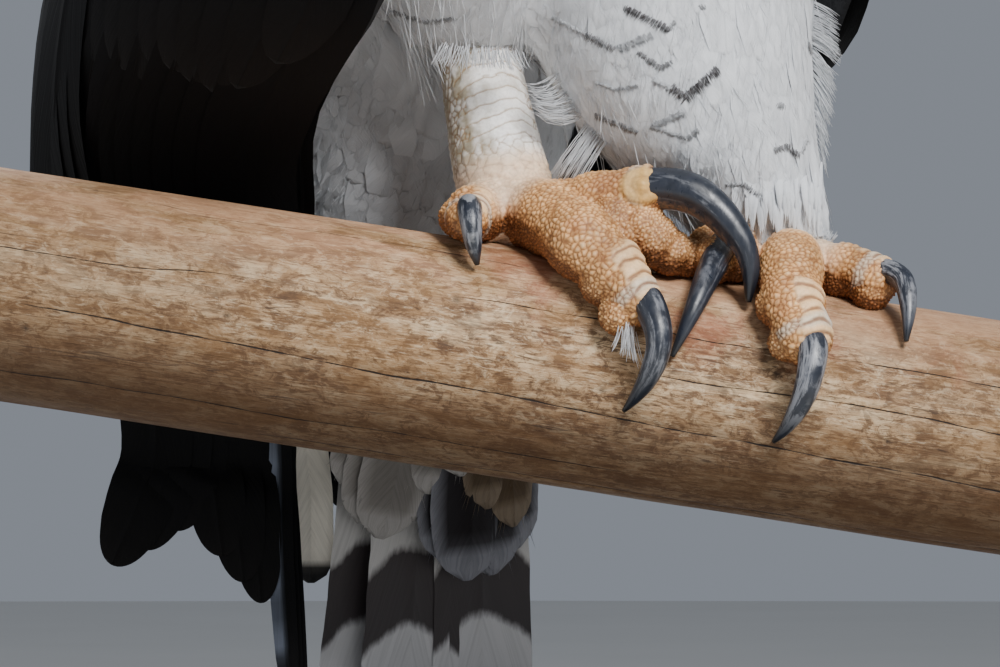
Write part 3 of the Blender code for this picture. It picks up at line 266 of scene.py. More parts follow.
# Other tiers: count, root t, root v, tip t, tip v, width, height and rise from one to the next
WING_TIERS = [
    (12, 0.42, (0.06, 0.76), (0.78, 0.81), (0.10, 0.80), 0.040, -0.0008, 0.00012),
    (3, 0.28, (0.80, 0.94), (0.78, 0.80), (0.80, 0.93), 0.042, 0.0050, 0.0004),
    (5, 0.10, (0.74, 0.98), (0.46, 0.56), (0.74, 0.97), 0.040, 0.0060, 0.0003),
    (4, 0.02, (0.72, 0.98), (0.24, 0.32), (0.74, 0.97), 0.036, 0.0066, 0.0003),
]
# Rows of coverts: where their tips end, length, count, width
COVERT_ROWS = [
    (0.610, 0.300, 13, 0.034), (0.475, 0.200, 13, 0.032), (0.395, 0.150, 13, 0.030),
    (0.330, 0.125, 13, 0.028), (0.275, 0.110, 12, 0.027), (0.225, 0.100, 12, 0.026),
    (0.180, 0.090, 12, 0.025), (0.140, 0.080, 11, 0.024), (0.105, 0.075, 11, 0.023),
    (0.072, 0.065, 10, 0.022), (0.044, 0.045, 9, 0.020),
]

# Tail: its root and tip as (forward, up), and its feathers
TAIL_ROOT = (-0.142, -0.0203)
TAIL_TIP = (-0.166, -0.302)
TAIL_PAIRS = 6
TAIL_FEATHER_WIDTH = 0.049
TAIL_HALF_WIDTH_TIP = 0.062
TAIL_SPREAD_ROOT = 0.52  # of its spread at the tip
TAIL_LAYER = 0.0016

# Head, in its own frame (forward, sideways, up)
SKULL = (0.066, 0.055, 0.053)
EYE = (0.0345, 0.0385, 0.0085)
EYE_RADIUS = 0.0118
EYE_LOOK = (0.74, 0.67)
LID_RADIUS = 0.0013
BARE_ROUND_EYE = 0.0128
BARE_ROUND_MOUTH = 0.0022
BILL_BASE = (0.045, 0.0150, 0.0205)  # how far forward it starts, its half width and half height
UPPER_BILL = [
    (0.044, 0.004, 0.0150, 0.0190), (0.060, 0.005, 0.0142, 0.0186), (0.076, 0.003, 0.0118, 0.0160),
    (0.090, -0.004, 0.0086, 0.0122), (0.099, -0.015, 0.0056, 0.0082),
    (0.1015, -0.027, 0.0028, 0.0044), (0.0995, -0.037, 0.0007, 0.0009),
]
LOWER_BILL = [
    (0.042, -0.0170, 0.0128, 0.0075), (0.060, -0.0185, 0.0110, 0.0066),
    (0.074, -0.0195, 0.0080, 0.0048), (0.084, -0.0195, 0.0040, 0.0022),
]
NOSTRIL = (0.063, 0.0135, 0.0095)
NOSTRIL_SIZE = 0.0021
NOSTRIL_DEPTH = 0.0030
LIP = [
    (0.064, 0.0110, -0.0105), (0.056, 0.0220, -0.0125),
    (0.046, 0.0330, -0.0145), (0.034, 0.0410, -0.0170),
]
BROW = [
    (0.056, 0.021, 0.019, 0.0022), (0.050, 0.034, 0.0215, 0.0046), (0.036, 0.0455, 0.0205, 0.0044),
    (0.018, 0.051, 0.015, 0.0020),
]
BROW_RIDGE = [
    (0.056, 0.0240, 0.0160, 0.0010), (0.050, 0.0355, 0.0200, 0.0036), (0.040, 0.0450, 0.0222, 0.0042),
    (0.028, 0.0510, 0.0215, 0.0036), (0.014, 0.0540, 0.0175, 0.0010),
]
CREST = [
    (-0.012, 0.010, 0.050, 0.052, 34, 10), (-0.018, 0.020, 0.047, 0.066, 40, 20),
    (-0.028, 0.013, 0.047, 0.078, 48, 12), (-0.032, 0.026, 0.042, 0.084, 54, 26),
    (-0.042, 0.012, 0.040, 0.078, 66, 10), (-0.044, 0.027, 0.034, 0.072, 74, 30),
]


def unit(vectors):
    """Vectors of length one."""
    vectors = np.asarray(vectors, float)
    return vectors / np.maximum(np.linalg.norm(vectors, axis=-1, keepdims=True), 1e-12)


def smooth(low, high, value):
    """0 below low, 1 above high, and a soft step between."""
    x = np.clip((value - low) / (high - low), 0, 1)
    return x * x * (3 - 2 * x)


def linear(colour):
    """A screen colour, 0 to 255, as linear light."""
    return (np.asarray(colour, float) / 255) ** 2.2


def blend(first, second, share):
    """From the first value to the second as the share goes from 0 to 1."""
    return first * (1 - share) + second * share


def circle(count):
    """Angles spread evenly round a circle."""
    return np.arange(count) * 2 * math.pi / count


def columns(*values):
    """Numbers or arrays, each with one more axis for a direction to fill."""
    return (np.asarray(value, float)[..., None] for value in values)


def bird(forward, side, up):
    """Points of the bird's frame. Side is positive to the bird's right."""
    forward, side, up = columns(forward, side, up)
    return FEET + forward * FORWARD + side * RIGHTWARD + up * UP


def on_pole(along, degrees, rise):
    """Points near the pole."""
    along, angle, rise = columns(along, np.radians(degrees), rise)
    away = np.sin(angle) * TOWARDS + np.cos(angle) * OUT
    return POLE_MIDDLE + along * AXIS + (POLE_RADIUS + rise) * away


def curve_at(table, t):
    """A smooth curve through a table's rows, whose first column is the parameter, at many places."""
    rows = np.asarray(table, float)
    knots, values = rows[:, 0], rows[:, 1:]
    slopes = np.gradient(values, knots, axis=0)
    t = np.asarray(t, float)
    i = np.clip(np.searchsorted(knots, t) - 1, 0, len(knots) - 2)
    span = (knots[i + 1] - knots[i])[..., None]
    x = (t - knots[i])[..., None] / span
    return (
        (2 * x**3 - 3 * x**2 + 1) * values[i]
        + (x**3 - 2 * x**2 + x) * span * slopes[i]
        + (3 * x**2 - 2 * x**3) * values[i + 1]
        + (x**3 - x**2) * span * slopes[i + 1]
    )


def rows_along(rows, places):
    """The rows of a table at places from 0 to 1 along a smooth curve through them."""
    return curve_at(np.column_stack([np.linspace(0, 1, len(rows)), np.asarray(rows, float)]), places)


def pole_line(table, places):
    """Points and radii at places along the table of a lower leg, toe or talon."""
    rows = rows_along(table, places)
    return on_pole(*rows[:, :3].T), rows[:, 3]


# Factors that scramble whole numbers into random-looking ones
CORNER_FACTORS = np.array([127.1, 311.7, 74.7])
RANK_FACTOR = 12.9898
SCRAMBLE = 43758.5453


def by_rank(number):
    """A share from 0 to 1 of its own for each whole number."""
    return np.modf(np.abs(np.sin(number * RANK_FACTOR) * SCRAMBLE))[0]


def value_noise(points, scale, seed):
    """Smooth noise from 0 to 1 at each point."""
    spots = np.asarray(points, float) * scale + seed * 17.31
    cell = np.floor(spots)
    x = spots - cell
    x = x * x * (3 - 2 * x)
    total = 0.0
    for corner in np.ndindex(2, 2, 2):
        mixed = np.sin((cell + corner) @ CORNER_FACTORS + seed) * SCRAMBLE
        share = np.prod(np.where(corner, x, 1 - x), axis=-1)
        total = total + share * (mixed - np.floor(mixed))
    return total


def layered_noise(points, scale, layers, seed):
    """Noise of several sizes, about -1 to 1."""
    total, weight = 0.0, 0.0
    for i in range(layers):
        total = total + (2 * value_noise(points, scale * 2**i, seed + i) - 1) / 2**i
        weight += 0.5**i
    return total / weight


class Finish:
    """A material built from nodes."""

    def __init__(self, name, roughness):
        self.material = bpy.data.materials.new(name)
        self.material.use_nodes = True
        self.tree = self.material.node_tree
        self.shader = self.tree.nodes["Principled BSDF"]
        self.set("Roughness", roughness)

    def feed(self, socket, value):
        """Links a socket to another, or sets its value. Colours may come without their fourth number."""
        if isinstance(value, bpy.types.NodeSocket):
            self.tree.links.new(value, socket)
        elif isinstance(value, (tuple, list, np.ndarray)) and len(socket.default_value) == 4:
            socket.default_value = (*value[:3], 1.0)
        else:
            socket.default_value = value

    def set(self, name, value):
        self.feed(self.shader.inputs[name], value)

    def add(self, kind, inputs=(), output=0, **settings):
        """A new node's output."""
        made = self.tree.nodes.new("ShaderNode" + kind)
        for key, value in settings.items():
            setattr(made, key, value)
        for key, value in dict(inputs).items():
            self.feed(made.inputs[key], value)
        return made.outputs[output]

    def math(self, operation, *values):
        return self.add("Math", dict(enumerate(values)), operation=operation)

    def times(self, product, *others):
        """The product of two or more values, or a single value as it is."""
        for other in others:
            product = self.math("MULTIPLY", product, other)
        return product

    def attribute(self, name, output="Fac"):
        return self.add("Attribute", output=output, attribute_name=name)

    def place(self):
        return self.add("TexCoord", output="Object")

    def scaled(self, vector, scales):
        return self.add("VectorMath", {0: vector, 1: Vector(scales)}, operation="MULTIPLY")

    def noise(self, vector, scale, detail=4.0, roughness=0.55, distortion=0.0):
        return self.add("TexNoise", {
            "Vector": vector, "Scale": scale, "Detail": detail, "Roughness": roughness,
            "Distortion": distortion,
        }, output="Fac")

    def step(self, value, low, high):
        """0 to 1 as the value goes from low to high."""
        inputs = {"Value": value, "From Min": low, "From Max": high}
        return self.add("MapRange", inputs, interpolation_type="SMOOTHSTEP")

    def mix(self, factor, first, second, kind="MIX"):
        """The first colour, and the second one over it as strong as the factor."""
        inputs = {0: factor, 6: first, 7: second}
        return self.add("Mix", inputs, output=2, data_type="RGBA", blend_type=kind)

    def layer(self, colour, shade, *shares):
        """The colour with a screen colour over it, as strong as the product of the shares."""
        return self.mix(self.times(*shares), colour, linear(shade))

    def bump(self, height, distance, strength):
        return self.add("Bump", {"Height": height, "Distance": distance, "Strength": strength})


def put_value(mesh, name, value):
    """A number or a vector that each point of a mesh carries."""
    value = np.asarray(value, np.float32)
    kind, field = ("FLOAT", "value") if value.ndim == 1 else ("FLOAT_VECTOR", "vector")
    mesh.attributes.new(name, kind, "POINT").data.foreach_set(field, value.ravel())


def new_mesh(name, points, faces, values=None, flat=None):
    """A mesh object from arrays. Faces are arrays of equal-sided faces, values are point attributes."""
    mesh = bpy.data.meshes.new(name)
    mesh.vertices.add(len(points))
    mesh.vertices.foreach_set("co", np.asarray(points, np.float32).ravel())
    loops = np.concatenate([f.ravel() for f in faces])
    sizes = np.concatenate([np.full(len(f), f.shape[1]) for f in faces])
    mesh.loops.add(len(loops))
    mesh.loops.foreach_set("vertex_index", loops.astype(np.int32))
    mesh.polygons.add(len(sizes))
    mesh.polygons.foreach_set("loop_start", (np.cumsum(sizes) - sizes).astype(np.int32))
    for key, value in (values or {}).items():
        put_value(mesh, key, value)
    if flat is not None:
        layer = mesh.uv_layers.new(name="OFBake")
        layer.data.foreach_set("uv", np.asarray(flat, np.float32)[loops].ravel())
    mesh.update(calc_edges=True)
    mesh.shade_smooth()
    made = bpy.data.objects.new(name, mesh)
    bpy.context.scene.collection.objects.link(made)
    return made


def piece(made, finish, slot, *replaced):
    """Gives a piece its material, hangs it under the root, and hides the solids that it replaces."""
    made.data.materials.clear()
    made.data.materials.append(finish.material)
    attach(made, "root")
    if replaced:
        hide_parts(*replaced)
    return made


def read(obj):
    """The points, point normals and triangles of an object's mesh."""
    mesh = obj.data
    mesh.calc_loop_triangles()
    found = []
    for items, field, kind in (
        (mesh.vertices, "co", np.float32), (mesh.vertex_normals, "vector", np.float32),
        (mesh.loop_triangles, "vertices", np.int32),
    ):
        values = np.empty(len(items) * 3, kind)
        items.foreach_get(field, values)
        found.append(values.reshape(-1, 3))
    points, normals, triangles = found
    return points.astype(float), normals.astype(float), triangles


def loft_faces(count, sides):
    """Quads between rings, and the two ends, wound outward for rings that run along their path."""
    i, j = np.meshgrid(np.arange(count - 1), np.arange(sides), indexing="ij")
    k = (j + 1) % sides
    quads = np.stack([i * sides + j, i * sides + k, (i + 1) * sides + k, (i + 1) * sides + j], -1)
    ends = np.array([np.arange(sides)[::-1], (count - 1) * sides + np.arange(sides)])
    return [quads.reshape(-1, 4), ends]


def ring(turns, first, second):
    """Points at angles round a middle, from the directions at 0 and at 90 degrees."""
    return np.outer(np.cos(turns), first) + np.outer(np.sin(turns), second)


def tube(points, radii, sides):
    """Rings of points square to a path, and the faces of the closed body through them."""
    tangents = unit(np.gradient(points, axis=0))
    side = unit(np.cross(tangents[0], UP if abs(tangents[0][2]) < 0.9 else TOWARDS))
    turns = circle(sides)
    rings = []
    for point, tangent, radius in zip(points, tangents, radii):
        side = unit(side - tangent * np.dot(side, tangent))
        rings.append(point + radius * ring(turns, side, np.cross(tangent, side)))
    return np.concatenate(rings), loft_faces(len(rings), sides)


def sphere(centre, radius):
    """Points and faces of a small closed ball."""
    sides = 16
    turns = circle(sides)
    rings = [
        np.asarray(centre) + radius * np.column_stack(
            [np.cos(turns) * math.sin(a), -np.sin(turns) * math.sin(a), np.full(sides, math.cos(a))]
        )
        for a in np.linspace(0.06, math.pi - 0.06, sides // 2 + 1)
    ]
    return np.concatenate(rings), loft_faces(len(rings), sides)


def merged(shapes):
    """Several (points, faces) as one."""
    points, faces, start = [], [], 0
    for spots, sets in shapes:
        points.append(spots)
        faces += [f + start for f in sets]
        start += len(spots)
    return np.concatenate(points), faces


def face_outward(mesh, gap=0.0):
    """Joins points closer together than the gap, and turns every face outward."""
    work = bmesh.new()
    work.from_mesh(mesh)
    if gap:
        bmesh.ops.remove_doubles(work, verts=work.verts, dist=gap)
    bmesh.ops.recalc_face_normals(work, faces=work.faces)
    work.to_mesh(mesh)
    work.free()


def remeshed(name, shapes, voxel, rounds):
    """One closed skin over several bodies that overlap."""
    made = new_mesh(name, *merged(shapes))
    mesh = made.data
    face_outward(mesh, 1e-5)
    join = made.modifiers.new("join", "REMESH")
    join.mode = "VOXEL"
    join.voxel_size = voxel
    ease = made.modifiers.new("ease", "SMOOTH")
    ease.factor = 0.5
    ease.iterations = rounds
    graph = bpy.context.evaluated_depsgraph_get()
    result = bpy.data.meshes.new_from_object(made.evaluated_get(graph))
    made.modifiers.clear()
    made.data = result
    bpy.data.meshes.remove(mesh)
    result.shade_smooth()
    return made


def put_points(obj, points):
    obj.data.vertices.foreach_set("co", np.asarray(points, np.float32).ravel())
    obj.data.update()


def put_camera():
    """The photograph's own view."""
    camera = bpy.data.cameras.new("camera")
    camera.sensor_width = SENSOR
    camera.lens = SENSOR * VIEW_DISTANCE / VIEW_WIDTH
    holder = bpy.data.objects.new("camera", camera)
    bpy.context.scene.collection.objects.link(holder)
    holder.location = (0.0, POLE_Y - VIEW_DISTANCE, VIEW_HEIGHT)
    holder.rotation_euler = (math.radians(90), 0.0, 0.0)
    bpy.context.scene.camera = holder


def put_lights():
    """Soft studio light from above, and a plain pale floor."""
    world = bpy.data.worlds.new("sky")
    world.use_nodes = True
    sky = world.node_tree.nodes["Background"].inputs
    sky["Color"].default_value = (0.76, 0.83, 0.95, 1)
    sky["Strength"].default_value = 0.30
    bpy.context.scene.world = world
    target = Vector((0.02, 0.0, 0.45))
    for name, spot, size, power in (
        ("key", (1.1, -2.1, 2.2), 1.0, 128.0),
        ("side", (-2.1, -1.2, 1.1), 1.4, 8.0),
        ("back", (-0.6, 2.1, 2.0), 1.3, 42.0),
    ):
        light = bpy.data.lights.new(name, "AREA")
        light.energy = power
        light.size = size
        lamp = bpy.data.objects.new(name, light)
        lamp.location = spot
        lamp.rotation_euler = (target - Vector(spot)).to_track_quat("-Z", "Y").to_euler()
        bpy.context.scene.collection.objects.link(lamp)
    sides, reach = 64, 6.0
    turns = circle(sides)
    rim = np.column_stack([np.cos(turns) * reach, np.sin(turns) * reach, np.zeros(sides)])
    floor = new_mesh("floor", rim, [np.arange(sides)[None, :]])
    finish = Finish("floor", 0.8)
    speck = finish.noise(finish.place(), 3.0)
    finish.set("Base Color", finish.mix(speck, linear((205, 204, 200)), linear((214, 213, 210))))
    floor.data.materials.append(finish.material)


def first_in_cubes(points, size):
    """The first point in each cube of a size."""
    cells = np.floor(points / size).astype(np.int64) + 5000
    keys = (cells[:, 0] * 10000 + cells[:, 1]) * 10000 + cells[:, 2]
    return np.unique(keys, return_index=True)[1]


# Feathers

SMALL = np.array([(-1, 0, 0), (0, 1, 1), (1, 0, 0)], float)  # across, camber and thickness
LARGE = np.array(
    [(-1, 0, 0), (-0.6, 0.6, 0.4), (-0.25, 0.93, 0.5), (-0.05, 1, 0.5), (0, 1, 1.6), (0.05, 1, 0.5),
     (0.25, 0.93, 0.5), (0.6, 0.6, 0.4), (1, 0, 0), (0.6, 0.6, -0.4), (0.15, 0.96, -0.4),
     (-0.15, 0.96, -0.4), (-0.6, 0.6, -0.4)], float)
SMALL_ROWS = np.array([0.0, 0.35, 0.68, 0.90, 1.0])
SMALL_SHAPE = np.array([0.35, 0.95, 1.0, 0.66, 0.10])
SMALL_RISE = np.array([0.0, 0.60, 0.92, 1.0, 0.92])


class Coat:
    """Feathers gathered as arrays, and made into one piece at the end."""

    def __init__(self):
        self.points, self.faces, self.count = [], {3: [], 4: [], 13: []}, 0
        self.values = {"tint": [], "lie": [], "across": [], "seed": []}
        self.flat = []

    def add(self, paths, normals, halves, lifts, tint, seed, flat, section=SMALL,
            camber=0.18, thick=0.0006, roll=0.0, lie=None):
        """Feathers along paths, with half widths and lifts at each row."""
        n, k = paths.shape[:2]
        m = len(section)
        tangent = unit(np.gradient(paths, axis=1))
        side = unit(np.cross(tangent, normals))
        above = np.cross(side, tangent)
        if np.any(roll):
            roll = np.broadcast_to(np.asarray(roll, float), (n,))[:, None, None]
            turned = side * np.cos(roll) + above * np.sin(roll)
            side, above = turned, above * np.cos(roll) - side * np.sin(roll)
        centre = paths + above * np.broadcast_to(lifts, (n, k))[..., None]
        halves = np.broadcast_to(halves, (n, k))
        wide = halves[..., None] * section[:, 0]
        high = halves[..., None] * camber * section[:, 1] + thick * section[:, 2]
        spots = centre[:, :, None] + side[:, :, None] * wide[..., None] + above[:, :, None] * high[..., None]
        first = self.count + np.arange(n)[:, None, None] * (k * m)
        j, c = np.meshgrid(np.arange(k - 1), np.arange(m), indexing="ij")
        d = (c + 1) % m
        quads = np.stack([j * m + c, (j + 1) * m + c, (j + 1) * m + d, j * m + d], -1).reshape(1, -1, 4)
        self.faces[4].append((first + quads).reshape(-1, 4))
        ends = np.array([np.arange(m), (k - 1) * m + np.arange(m)[::-1]])[None]
        self.faces[m].append((first + ends).reshape(-1, m))
        self.points.append(spots.reshape(-1, 3))
        self.count += n * k * m
        lie = np.linspace(0, 1, k) if lie is None else lie
        shape = (n, k, m)
        across = np.broadcast_to(section[:, 0], shape)
        lie = np.broadcast_to(np.broadcast_to(lie, (n, k))[..., None], shape)
        spread = np.stack([across * 0.5, lie - 0.5], -1) * PATCH
        flat = np.asarray(flat)[:, None, None, :]
        self.flat.append((np.clip(flat, PATCH, 1 - PATCH) + spread).reshape(-1, 2))
        tint = np.asarray(tint, float)
        if tint.ndim < 4:
            tint = tint[:, None, None] if tint.ndim == 2 else tint[:, :, None]
        self.values["tint"].append(np.broadcast_to(tint, (*shape, 3)).reshape(-1, 3))
        seed = np.broadcast_to(np.asarray(seed, float).reshape(-1, 1, 1), shape)
        self.values["seed"].append(seed.ravel())
        self.values["lie"].append(lie.ravel())
        self.values["across"].append(across.ravel())

    def one(self, path, normal, half, tint, draw, flat, section=LARGE, **form):
        """A single feather along a path."""
        normals = np.broadcast_to(normal, path.shape)[None]
        self.add(path[None], normals, half[None], 0.0, tint[None], [draw.random()], flat, section, **form)

    def spikes(self, roots, tips, across, width, tint, seed, flat):
        """Thin barbs: three-sided spikes from roots to tips."""
        n = len(roots)
        way = unit(tips - roots)
        side = unit(across - way * np.sum(across * way, -1, keepdims=True))
        other = np.cross(way, side)
        width = np.broadcast_to(np.asarray(width, float), (n,))[:, None]
        corners = [roots + width * (side * math.cos(a) + other * math.sin(a)) for a in (0.0, 2.1, 4.2)]
        spots = np.stack([*corners, tips], 1)
        first = self.count + 4 * np.arange(n)[:, None, None]
        sides = np.array([(0, 2, 1), (0, 1, 3), (1, 2, 3), (2, 0, 3)])[None]
        self.faces[3].append((first + sides).reshape(-1, 3))
        self.points.append(spots.reshape(-1, 3))
        self.count += 4 * n
        spread = np.array([(0, 0), (0, 0), (0, 0), (0, 0.4)]) * PATCH
        self.flat.append((np.clip(flat, PATCH, 1 - PATCH)[:, None] + spread).reshape(-1, 2))
        self.values["tint"].append(np.repeat(np.broadcast_to(tint, (n, 3)), 4, 0))
        self.values["seed"].append(np.repeat(np.broadcast_to(seed, (n,)), 4))
        self.values["lie"].append(np.tile((0.5, 0.5, 0.5, 1.0), n))
        self.values["across"].append(np.full(4 * n, 0.9))

    def tree(self):
        """The vanes' surface, to lay marks on."""
        quads = np.concatenate(self.faces[4]).tolist()
        return BVHTree.FromPolygons(np.concatenate(self.points).tolist(), quads)

    def made(self, name):
        """The piece's mesh, with sharp edges only where a vane's faces turn back."""
        faces = [np.concatenate(sets) for sets in self.faces.values() if sets]
        values = {key: np.concatenate(parts) for key, parts in self.values.items()}
        made = new_mesh(name, np.concatenate(self.points), faces, values, np.concatenate(self.flat))
        made.data.set_sharp_from_angle(angle=math.radians(135))
        return made


class Surface:
    """A skin that feathers root on and lie along."""

    def __init__(self, obj):
        self.points, self.normals, self.triangles = read(obj)
        self.tree = BVHTree.FromPolygons(self.points.tolist(), self.triangles.tolist())

    def nearest(self, spots):
        """The skin's nearest point to each spot, and its normal there."""
        places, normals = np.empty_like(spots), np.empty_like(spots)
        for i, spot in enumerate(spots):
            place, _, face, _ = self.tree.find_nearest(Vector(spot))
            places[i] = place
            normals[i] = self.normals[self.triangles[face]].mean(0)
        return places, unit(normals)

    def scatter(self, spacing, draw, keep):
        """Roots spread evenly where keep(points, normals) is true."""
        corners = self.points[self.triangles]
        square = np.cross(corners[:, 1] - corners[:, 0], corners[:, 2] - corners[:, 0])
        areas = np.linalg.norm(square, axis=1) / 2
        areas = areas * keep(corners.mean(1), self.normals[self.triangles].mean(1))
        count = int(areas.sum() / spacing**2 * 3)
        chosen = draw.choice(len(areas), count, p=areas / areas.sum())
        shares = draw.random((count, 2))
        flip = shares.sum(1) > 1
        shares[flip] = 1 - shares[flip]
        weights = np.column_stack([1 - shares.sum(1), shares])[..., None]
        points = (corners[chosen] * weights).sum(1)
        normals = unit((self.normals[self.triangles[chosen]] * weights).sum(1))
        first = first_in_cubes(points, spacing * 1.12)
        inside = keep(points[first], normals[first])
        return points[first][inside], normals[first][inside]

    def lay(self, roots, normals, flow, lengths, rows, draw, jitter):
        """Paths that start at roots and follow the flow along the skin."""
        paths, ups = [roots], [normals]
        spot, normal = roots, normals
        sway = draw.normal(0, jitter, len(roots))[:, None]
        for a, b in zip(rows[:-1], rows[1:]):
            way = flow(spot, normal)
            way = unit(way - normal * np.sum(way * normal, -1, keepdims=True))
            way = unit(way + np.cross(normal, way) * sway)
            spot, normal = self.nearest(spot + way * (lengths * (b - a))[:, None])
            paths.append(spot)
            ups.append(normal)
        return np.stack(paths, 1), np.stack(ups, 1)


def feather_finish(name, roughness, barbs, bands=None, gloss=0.0, depth=0.0):
    """Plumage: each feather's own tint, fine barbs that run out from the shaft, and bands."""
    finish = Finish(name, roughness)
    tint = finish.attribute("tint", "Color")
    lie, across = finish.attribute("lie"), finish.attribute("across")
    seed = finish.attribute("seed")
    out = finish.math("ABSOLUTE", across)
    slant = finish.math("SUBTRACT", finish.times(lie, 34.0), finish.times(out, 9.0))
    lane = finish.math("ADD", slant, finish.times(seed, 90.0))
    strands = finish.add("CombineXYZ", {0: lane, 1: finish.times(out, 0.7), 2: seed})
    hair = finish.noise(strands, 1.3, 3.0, 0.7)
    dark = finish.mix(0.5, tint, (0.0, 0.0, 0.0))
    colour = finish.mix(finish.times(finish.step(hair, 0.62, 0.30), barbs), tint, dark)
    if bands:
        wander = finish.noise(finish.scaled(finish.place(), (60, 60, 18)), 1.0, 5.0, 0.7)
        reach = finish.math("ADD", lie, finish.times(finish.math("SUBTRACT", wander, 0.5), 0.045))
        arch = finish.times(finish.math("POWER", out, 2.0), 0.045)
        reach = finish.math("SUBTRACT", reach, finish.math("ADD", arch, finish.times(seed, 0.02)))
        ramp = finish.tree.nodes.new("ShaderNodeValToRGB")
        while len(ramp.color_ramp.elements) < len(bands):
            ramp.color_ramp.elements.new(0.5)
        for stop, (position, shade) in zip(ramp.color_ramp.elements, bands):
            stop.position = position
            stop.color = (*linear(shade), 1.0)
        finish.feed(ramp.inputs[0], reach)
        colour = finish.mix(1.0, ramp.outputs[0], colour, "MULTIPLY")
    finish.set("Base Color", colour)
    finish.set("Normal", finish.bump(hair, 0.0005, 0.5))
    if gloss:
        finish.set("Specular IOR Level", gloss)
    finish.set("Sheen Weight", 0.03 if gloss else 0.15)
    if depth:
        finish.set("Subsurface Weight", depth)
        finish.set("Subsurface Radius", (1.0, 1.0, 1.0))
        finish.set("Subsurface Scale", 0.004)
    return finish


def envelope_shapes():
    """The solids' own bodies of flesh: torso, neck, thighs and skull."""
    shapes = []
    for name in ("torso", "neck"):
        points, _, triangles = read(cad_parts[name])
        shapes.append((points, [triangles]))
    sides = 24
    for table in THIGHS.values():
        rings = [
            FEET + row[:3] + ring(circle(sides), (row[3], 0, 0), TOWARDS * row[4])
            for row in rows_along(table, np.linspace(0, 1, 14))
        ]
        shapes.append((np.concatenate(rings), loft_faces(len(rings), sides)))
    shapes.append(skull_shape())
    for sign in (1, -1):
        line, radii = head_line(BROW, sign, 20)
        shapes.append(tube(line, radii * 1.3 + 0.0022, 14))
    return shapes


def head_axes():
    """The head's forward, rightward and up directions."""
    turn = HEADING - HEAD_TURN
    level = np.array([math.sin(turn), -math.cos(turn), 0.0])
    right = np.array([-math.cos(turn), -math.sin(turn), 0.0])
    forward = level * math.cos(HEAD_PITCH) - UP * math.sin(HEAD_PITCH)
    return forward, right, np.cross(right, forward)


AHEAD, ASIDE, ABOVE = head_axes()
HEAD_SPOT = bird(*HEAD_CENTRE)
HEAD_BAKE = (HEAD_SPOT, HEAD_SPOT[2] - 0.09, HEAD_SPOT[2] + 0.08)  # middle, low and high


def head_point(forward, side, up):
    """Points of the head's frame."""
    forward, side, up = columns(forward, side, up)
    return HEAD_SPOT + forward * AHEAD + side * ASIDE + up * ABOVE


def head_line(table, sign, count):
    """Points along a table of the head's frame, on one side, and the table's last column."""
    rows = rows_along(table, np.linspace(0, 1, count))
    return head_point(rows[:, 0], rows[:, 1] * sign, rows[:, 2]), rows[:, -1]


def eye_centre(sign):
    return head_point(EYE[0], EYE[1] * sign, EYE[2])


# The skull's swellings: direction, spread and height
SKULL_SWELLINGS = [
    ((0.72, 0.48, 0.50), 0.22, 0.0052), ((0.30, 0.80, -0.35), 0.45, 0.0070),
    ((-0.70, 0.35, -0.45), 0.55, 0.0060), ((0.60, 0.0, -0.75), 0.40, 0.0040),
]


def skull_shape():
    """The feathered skull, with brows, cheeks and a full nape."""
    levels, sides = 40, 48
    polar, turn = np.meshgrid(np.linspace(0.05, math.pi - 0.05, levels), circle(sides), indexing="ij")
    way = np.stack([np.cos(polar), np.sin(polar) * np.cos(turn), np.sin(polar) * np.sin(turn)], -1)
    mirrored = way * np.array([1, 0, 1]) + np.abs(way) * np.array([0, 1, 0])
    grown = 0.0
    for centre, spread, height in SKULL_SWELLINGS:
        off = np.linalg.norm(mirrored - unit(centre), axis=-1)
        grown = grown + height * np.exp(-((off / spread) ** 2))
    spot = way * (np.array(SKULL) + grown[..., None])
    points = head_point(spot[..., 0], spot[..., 1], spot[..., 2]).reshape(-1, 3)
    return points, loft_faces(levels, sides)


def region(points):
    """How far above the feet each point is, how far before them, and how far to their right."""
    offset = points - FEET
    return offset @ UP, offset @ FORWARD, offset @ RIGHTWARD


def trunk_flow(points, normals):
    """Down the trunk, and backwards the more the lower it is."""
    up, _, _ = region(points)
    back = smooth(0.16, 0.0, up) * 0.45 + 0.12
    return -UP - FORWARD * back[:, None]


def thigh_flow(side):
    """Down the thigh, drawing in to the bare leg below it."""
    rows = np.asarray(THIGHS[side], float)
    low = FEET + rows[-1, :3] - UP * 0.02

    def flow(points, normals):
        height = points @ UP - low @ UP
        pull = unit(low - points) * smooth(0.16, 0.03, height)[:, None]
        return -UP * 0.8 + pull * 1.1
    return flow


def head_flow(points, normals):
    """Back from the bill, and down behind the face."""
    away = unit(points - head_point(0.075, 0.0, 0.0))
    drop = smooth(0.0, -0.05, (points - HEAD_SPOT) @ AHEAD)
    return away - ABOVE * drop[:, None] * 0.9


def near_thigh(points):
    """1 on the right thigh, -1 on the left one, 0 elsewhere."""
    found = np.zeros(len(points))
    for sign, side in ((1, "right"), (-1, "left")):
        rows = rows_along(THIGHS[side], np.linspace(0, 1, 90))
        centres = FEET + rows[:, :3]
        off = (points[:, None] - centres)[..., :2] / rows[None, :, 3:5]
        level = np.abs(points[:, None, 2] - centres[:, 2]) < 0.006
        inside = np.where(level, np.linalg.norm(off, axis=-1), 9).min(1)
        found = np.where(inside < 1.12, sign, found)
    return found


def bake_place(points, centre, low, high):
    """Each root's place on the skin unrolled round an upright line."""
    offset = points - centre
    turn = np.arctan2(offset[:, 1], offset[:, 0]) / (2 * math.pi) + 0.5
    return np.column_stack([turn, (points[:, 2] - low) / (high - low)])


